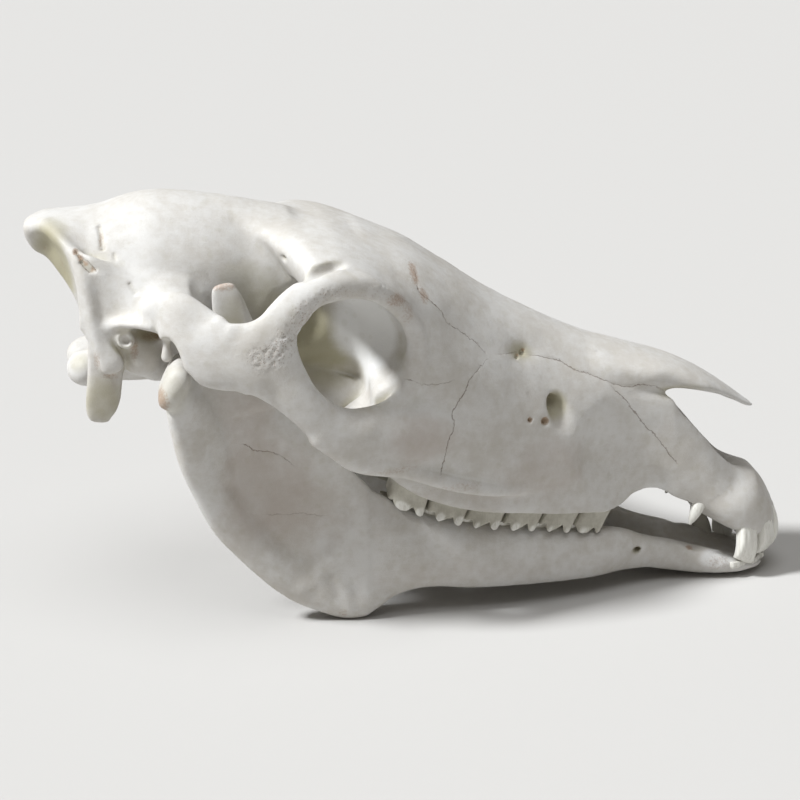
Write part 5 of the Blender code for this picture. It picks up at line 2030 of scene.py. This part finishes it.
@dataclass(frozen=True)
class BoneFinish:
    """Bleached dry bone: mottled ivory, stained and cracked where it is marked, with painted shade in its
    hollows and creases and painted light where it is lit.

    Attributes:
        name: The material's name.
        pale: Colour of the cleanest bone.
        shade: Colour of the mottling.
        hollow: Colour of the painted shade where the bone is closed in.
        olive: Colour of the painted shade in the creases and shaded places, and of the specks.
        rust: Colour of the brown stains.
        rose: Colour of the warm bare places.
        bleach: Colour of the painted light where the bone is lit, and of the worn edges and bleached places.
        seam: Colour in the seams and pores.
        roughness: Least and most roughness.
    """

    name: str
    pale: Colour = (0.64, 0.63, 0.61, 1)
    shade: Colour = (0.53, 0.505, 0.465, 1)
    hollow: Colour = (0.52, 0.475, 0.355, 1)
    painted_shade: Colour = (0.35, 0.32, 0.195, 1)
    rust: Colour = (0.30, 0.17, 0.09, 1)
    rose: Colour = (0.46, 0.405, 0.36, 1)
    bleach: Colour = (0.79, 0.79, 0.78, 1)
    seam: Colour = (0.15, 0.095, 0.065, 1)
    roughness: tuple[float, float] = (0.5, 0.68)

    def material(self, effects: Effects) -> bpy.types.Material:
        """Builds the finish.

        Args:
            effects: The shared node groups.

        Returns:
            The material.
        """
        made = bpy.data.materials.new(self.name)
        made.use_nodes = True
        shader = made.node_tree.nodes["Principled BSDF"]
        g = Graph(made.node_tree)
        place = g.millimetres()
        grain = effects.use(g, effects.grain, Place=place)
        colour = g.mix(grain["Shade"], self.shade, self.pale)
        # Painted shade: tan mixed in where bone crowds round the surface, in the hollows.
        hollow = g.ramp(g.mask("hollow"), 0.12, 0.9, 0.7)
        colour = g.mix(hollow, colour, self.hollow)
        # Painted shade: olive mixed in at creases, where bone lies close off the surface.
        crease = effects.use(g, effects.stain, Place=place, Mask=g.mask("crease"), Size=4.0, Ragged=0.5)
        colour = g.mix(g.math("MULTIPLY", crease["Mask"], 0.5), colour, self.painted_shade)
        tints = {
            Mark.PAINTED_SHADE: self.painted_shade,
            Mark.ROSE: self.rose,
            Mark.BLEACH: self.bleach,
            Mark.RUST: self.rust,
        }
        # The olive mark paints shade and the pale mark paints light as well as bleached places; rust and
        # rose are stains.
        for mark, (size, ragged, most) in RAGGED_MARKS.items():
            given = {"Mask": g.mask(mark.value), "Size": size, "Ragged": ragged}
            spread = effects.use(g, effects.stain, Place=place, **given)
            colour = g.mix(g.math("MULTIPLY", spread["Mask"], most), colour, tints[mark])
        colour = g.mix(g.ramp(g.mask("edge"), 0.35, 1.0, 0.45), colour, self.bleach)
        heights = [grain["Height"]]
        for channel in CHANNELS:
            given = {"Distance": g.mask(channel), "Strength": g.mask(channel + "_strength")}
            line = effects.use(g, effects.seam, Place=place, **given)
            colour = g.mix(g.math("MULTIPLY", line["Mask"], SEAM_TINT), colour, self.seam)
            heights.append(line["Height"])
        rough = g.mask(Mark.ROUGH.value)
        pores = effects.use(g, effects.pores, Place=place, Size=1.15, Amount=rough)
        colour = g.mix(g.math("MULTIPLY", pores["Mask"], PORE_TINT), colour, self.rust)
        heights.append(pores["Height"])
        specks = effects.use(g, effects.pores, Place=place, Size=7.0, Amount=0.55)
        colour = g.mix(g.math("MULTIPLY", specks["Mask"], SPECK_TINT), colour, self.painted_shade)
        height = heights[0]
        for other in heights[1:]:
            height = g.math("ADD", height, other)
        bump = g.node("ShaderNodeBump", {"Height": height, "Distance": BUMP_UNIT, "Strength": 0.8})
        made.node_tree.links.new(colour, shader.inputs["Base Color"])
        low, high = self.roughness
        ends = {"Value": grain["Shade"], "To Min": high, "To Max": low}
        made.node_tree.links.new(g.node("ShaderNodeMapRange", ends).outputs[0], shader.inputs["Roughness"])
        made.node_tree.links.new(bump.outputs[0], shader.inputs["Normal"])
        shader.inputs["Specular IOR Level"].default_value = 0.35
        return made


@dataclass(frozen=True)
class ToothFinish:
    """Tooth: smooth white enamel over olive-tan cement, with fine streaks down its length.

    Attributes:
        name: The material's name.
        enamel: Colour of the enamel.
        tint: Colour of the streaks in it.
        cement: Colour of the cement.
    """

    name: str
    enamel: Colour = (0.78, 0.77, 0.72, 1)
    tint: Colour = (0.56, 0.54, 0.47, 1)
    cement: Colour = (0.41, 0.39, 0.325, 1)

    def material(self, effects: Effects) -> bpy.types.Material:
        """Builds the finish.

        Args:
            effects: The shared node groups.

        Returns:
            The material.
        """
        made = bpy.data.materials.new(self.name)
        made.use_nodes = True
        shader = made.node_tree.nodes["Principled BSDF"]
        g = Graph(made.node_tree)
        place = g.millimetres()
        down = g.node("ShaderNodeMapping", {"Vector": place, "Scale": (1.0, 1.0, 0.14)}).outputs[0]
        grain = effects.use(g, effects.grain, Place=place, Size=2.0, Streaks=0.2)
        streaks = g.ramp(g.noise(down, 0.8, 3.0), 0.4, 0.75)
        enamel = g.mix(g.math("MULTIPLY", streaks, 0.55), self.enamel, self.tint)
        cement = g.mix(grain["Shade"], self.cement, self.tint)
        share = g.ramp(g.mask("enamel"), 0.3, 0.62)
        colour = g.mix(share, cement, enamel)
        height = g.math("ADD", grain["Height"], g.math("MULTIPLY", streaks, 0.12))
        bump = g.node("ShaderNodeBump", {"Height": height, "Distance": BUMP_UNIT, "Strength": 0.6})
        ends = {"Value": share, "To Min": 0.62, "To Max": 0.3}
        links = made.node_tree.links
        links.new(colour, shader.inputs["Base Color"])
        links.new(g.node("ShaderNodeMapRange", ends).outputs[0], shader.inputs["Roughness"])
        links.new(bump.outputs[0], shader.inputs["Normal"])
        return made


# Studio

SENSOR = 36
# The floor in millimetres: how far it goes each way, where it starts to curve up and the curve's
# radius, then its points across and along.
FLOOR_REACH = 9000
FLOOR_BEND = 7000
FLOOR_CURVE = 2500
FLOOR_ACROSS = 25
FLOOR_ALONG = 61
LAMP_COLOUR = (0.96, 0.98, 1.0)
SKY_COLOUR = (1.0, 0.95, 0.88, 1)
PAPER_COLOUR = (0.52, 0.51, 0.495, 1)
PAPER_ROUGHNESS = 0.9


@dataclass(frozen=True)
class Studio:
    """The pale floor, the soft lights and the camera.

    Attributes:
        azimuth: Degrees that the camera stands to the rear of a plain side view.
        elevation: Degrees that it looks down.
        roll: Degrees that it leans.
        away: Metres from what it looks at.
        target: The point that it looks at, in metres.
        lens: Focal length in millimetres on a sensor 36 mm wide.
        toward: The way to the key light.
        strength: The key light's strength.
        spread: How wide the key light looks, in degrees.
        above: The way to the soft light overhead.
        above_strength: Its strength.
        above_spread: How wide it looks, in degrees.
        sky: Strength of the even light from all round.
    """

    azimuth: float = 9.0
    elevation: float = 19.0
    roll: float = 0.6466
    away: float = 1.25
    target: Point = (-0.0141, 0.0, 0.1262)
    lens: float = 87.67
    toward: Point = (-0.66, -0.12, 0.74)
    strength: float = 4.7
    spread: float = 8.0
    above: Point = (-0.05, -0.22, 0.97)
    above_strength: float = 1.0
    above_spread: float = 40.0
    sky: float = 0.17

    def camera(self) -> bpy.types.Object:
        """Makes the camera from its right, up and back directions, rolled.

        Returns:
            The camera, which the scene uses.
        """
        psi, el, roll = (math.radians(v) for v in (self.azimuth, self.elevation, self.roll))
        right = Vector((math.cos(psi), -math.sin(psi), 0))
        up = Vector((math.sin(psi) * math.sin(el), math.cos(psi) * math.sin(el), math.cos(el)))
        back = Vector((-math.sin(psi) * math.cos(el), -math.cos(psi) * math.cos(el), math.sin(el)))
        turned = Matrix((
            math.cos(roll) * right + math.sin(roll) * up,
            math.cos(roll) * up - math.sin(roll) * right,
            back,
        )).transposed().to_4x4()
        turned.translation = Vector(self.target) + back * self.away
        data = bpy.data.cameras.new("camera")
        data.sensor_width = SENSOR
        data.lens = self.lens
        made = bpy.data.objects.new("camera", data)
        bpy.context.scene.collection.objects.link(made)
        made.matrix_world = turned
        bpy.context.scene.camera = made
        return made

    def lamp(self, name: str, toward: Point, strength: float, spread: float) -> None:
        """Adds a far wide lamp.

        Args:
            name: Its name.
            toward: The way to it.
            strength: Its strength.
            spread: How wide it looks, in degrees.
        """
        data = bpy.data.lights.new(name, "SUN")
        data.energy, data.angle, data.color = strength, math.radians(spread), LAMP_COLOUR
        made = bpy.data.objects.new(name, data)
        made.rotation_euler = Vector(toward).to_track_quat("Z", "Y").to_euler()
        bpy.context.scene.collection.objects.link(made)

    def floor(self) -> bpy.types.Object:
        """Makes a wide plain floor that curves up at the back like studio paper.

        Along the depth d the height is 0 up to the bend and then part of a circle.

        Returns:
            The floor.
        """
        across, along = (np.linspace(-FLOOR_REACH, FLOOR_REACH, n) for n in (FLOOR_ACROSS, FLOOR_ALONG))
        x, d = np.meshgrid(across, along, indexing="ij")
        past = np.clip(d - FLOOR_BEND, 0, None)
        z = FLOOR_CURVE * (1 - np.cos(past / FLOOR_CURVE))
        points = np.stack([x, d, z], axis=-1).reshape(-1, 3)
        i, j = np.meshgrid(np.arange(FLOOR_ACROSS - 1), np.arange(FLOOR_ALONG - 1), indexing="ij")
        k = (i * FLOOR_ALONG + j).ravel()
        quads = np.column_stack([k, k + FLOOR_ALONG, k + FLOOR_ALONG + 1, k + 1])
        made = put_in_mesh("floor", points, quads)
        return made

    def build(self) -> None:
        """Sets up the floor, the lamps, the sky and the camera."""
        self.camera()
        floor = self.floor()
        paper = bpy.data.materials.new("studio_paper")
        paper.use_nodes = True
        shader = paper.node_tree.nodes["Principled BSDF"]
        shader.inputs["Base Color"].default_value = PAPER_COLOUR
        shader.inputs["Roughness"].default_value = PAPER_ROUGHNESS
        floor.data.materials.append(paper)
        world = bpy.data.worlds.new("soft_sky")
        world.use_nodes = True
        background = world.node_tree.nodes["Background"]
        background.inputs["Color"].default_value = SKY_COLOUR
        background.inputs["Strength"].default_value = self.sky
        bpy.context.scene.world = world
        bpy.context.scene.view_settings.view_transform = "Standard"
        self.lamp("key", self.toward, self.strength, self.spread)
        self.lamp("overhead", self.above, self.above_strength, self.above_spread)


def main() -> None:
    """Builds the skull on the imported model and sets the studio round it."""
    logging.basicConfig(level=logging.INFO, format="%(message)s")
    for old in list(bpy.data.objects):
        bpy.data.objects.remove(old)
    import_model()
    effects = Effects()
    finishes = {
        "cranium": BoneFinish("cranium_bone").material(effects),
        "mandible": BoneFinish("jaw_bone").material(effects),
        "tooth": ToothFinish("tooth_enamel_and_cement").material(effects),
    }
    made = []
    for node, bone in (("cranium", Cranium()), ("mandible", Mandible())):
        piece = bone.build(node + "_bone")
        piece.data.materials.append(finishes[node])
        made.append((piece, node))
    for tooth in Teeth().build():
        tooth.data.materials.append(finishes["tooth"])
        made.append((tooth, "cranium" if tooth.name.startswith("upper") else "mandible"))
    for piece, node in made:
        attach(piece, "root")
        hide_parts(node)
        LOG.info("%s: %d faces", piece.name, len(piece.data.polygons))
    Studio().build()


if __name__ == "__main__":
    main()
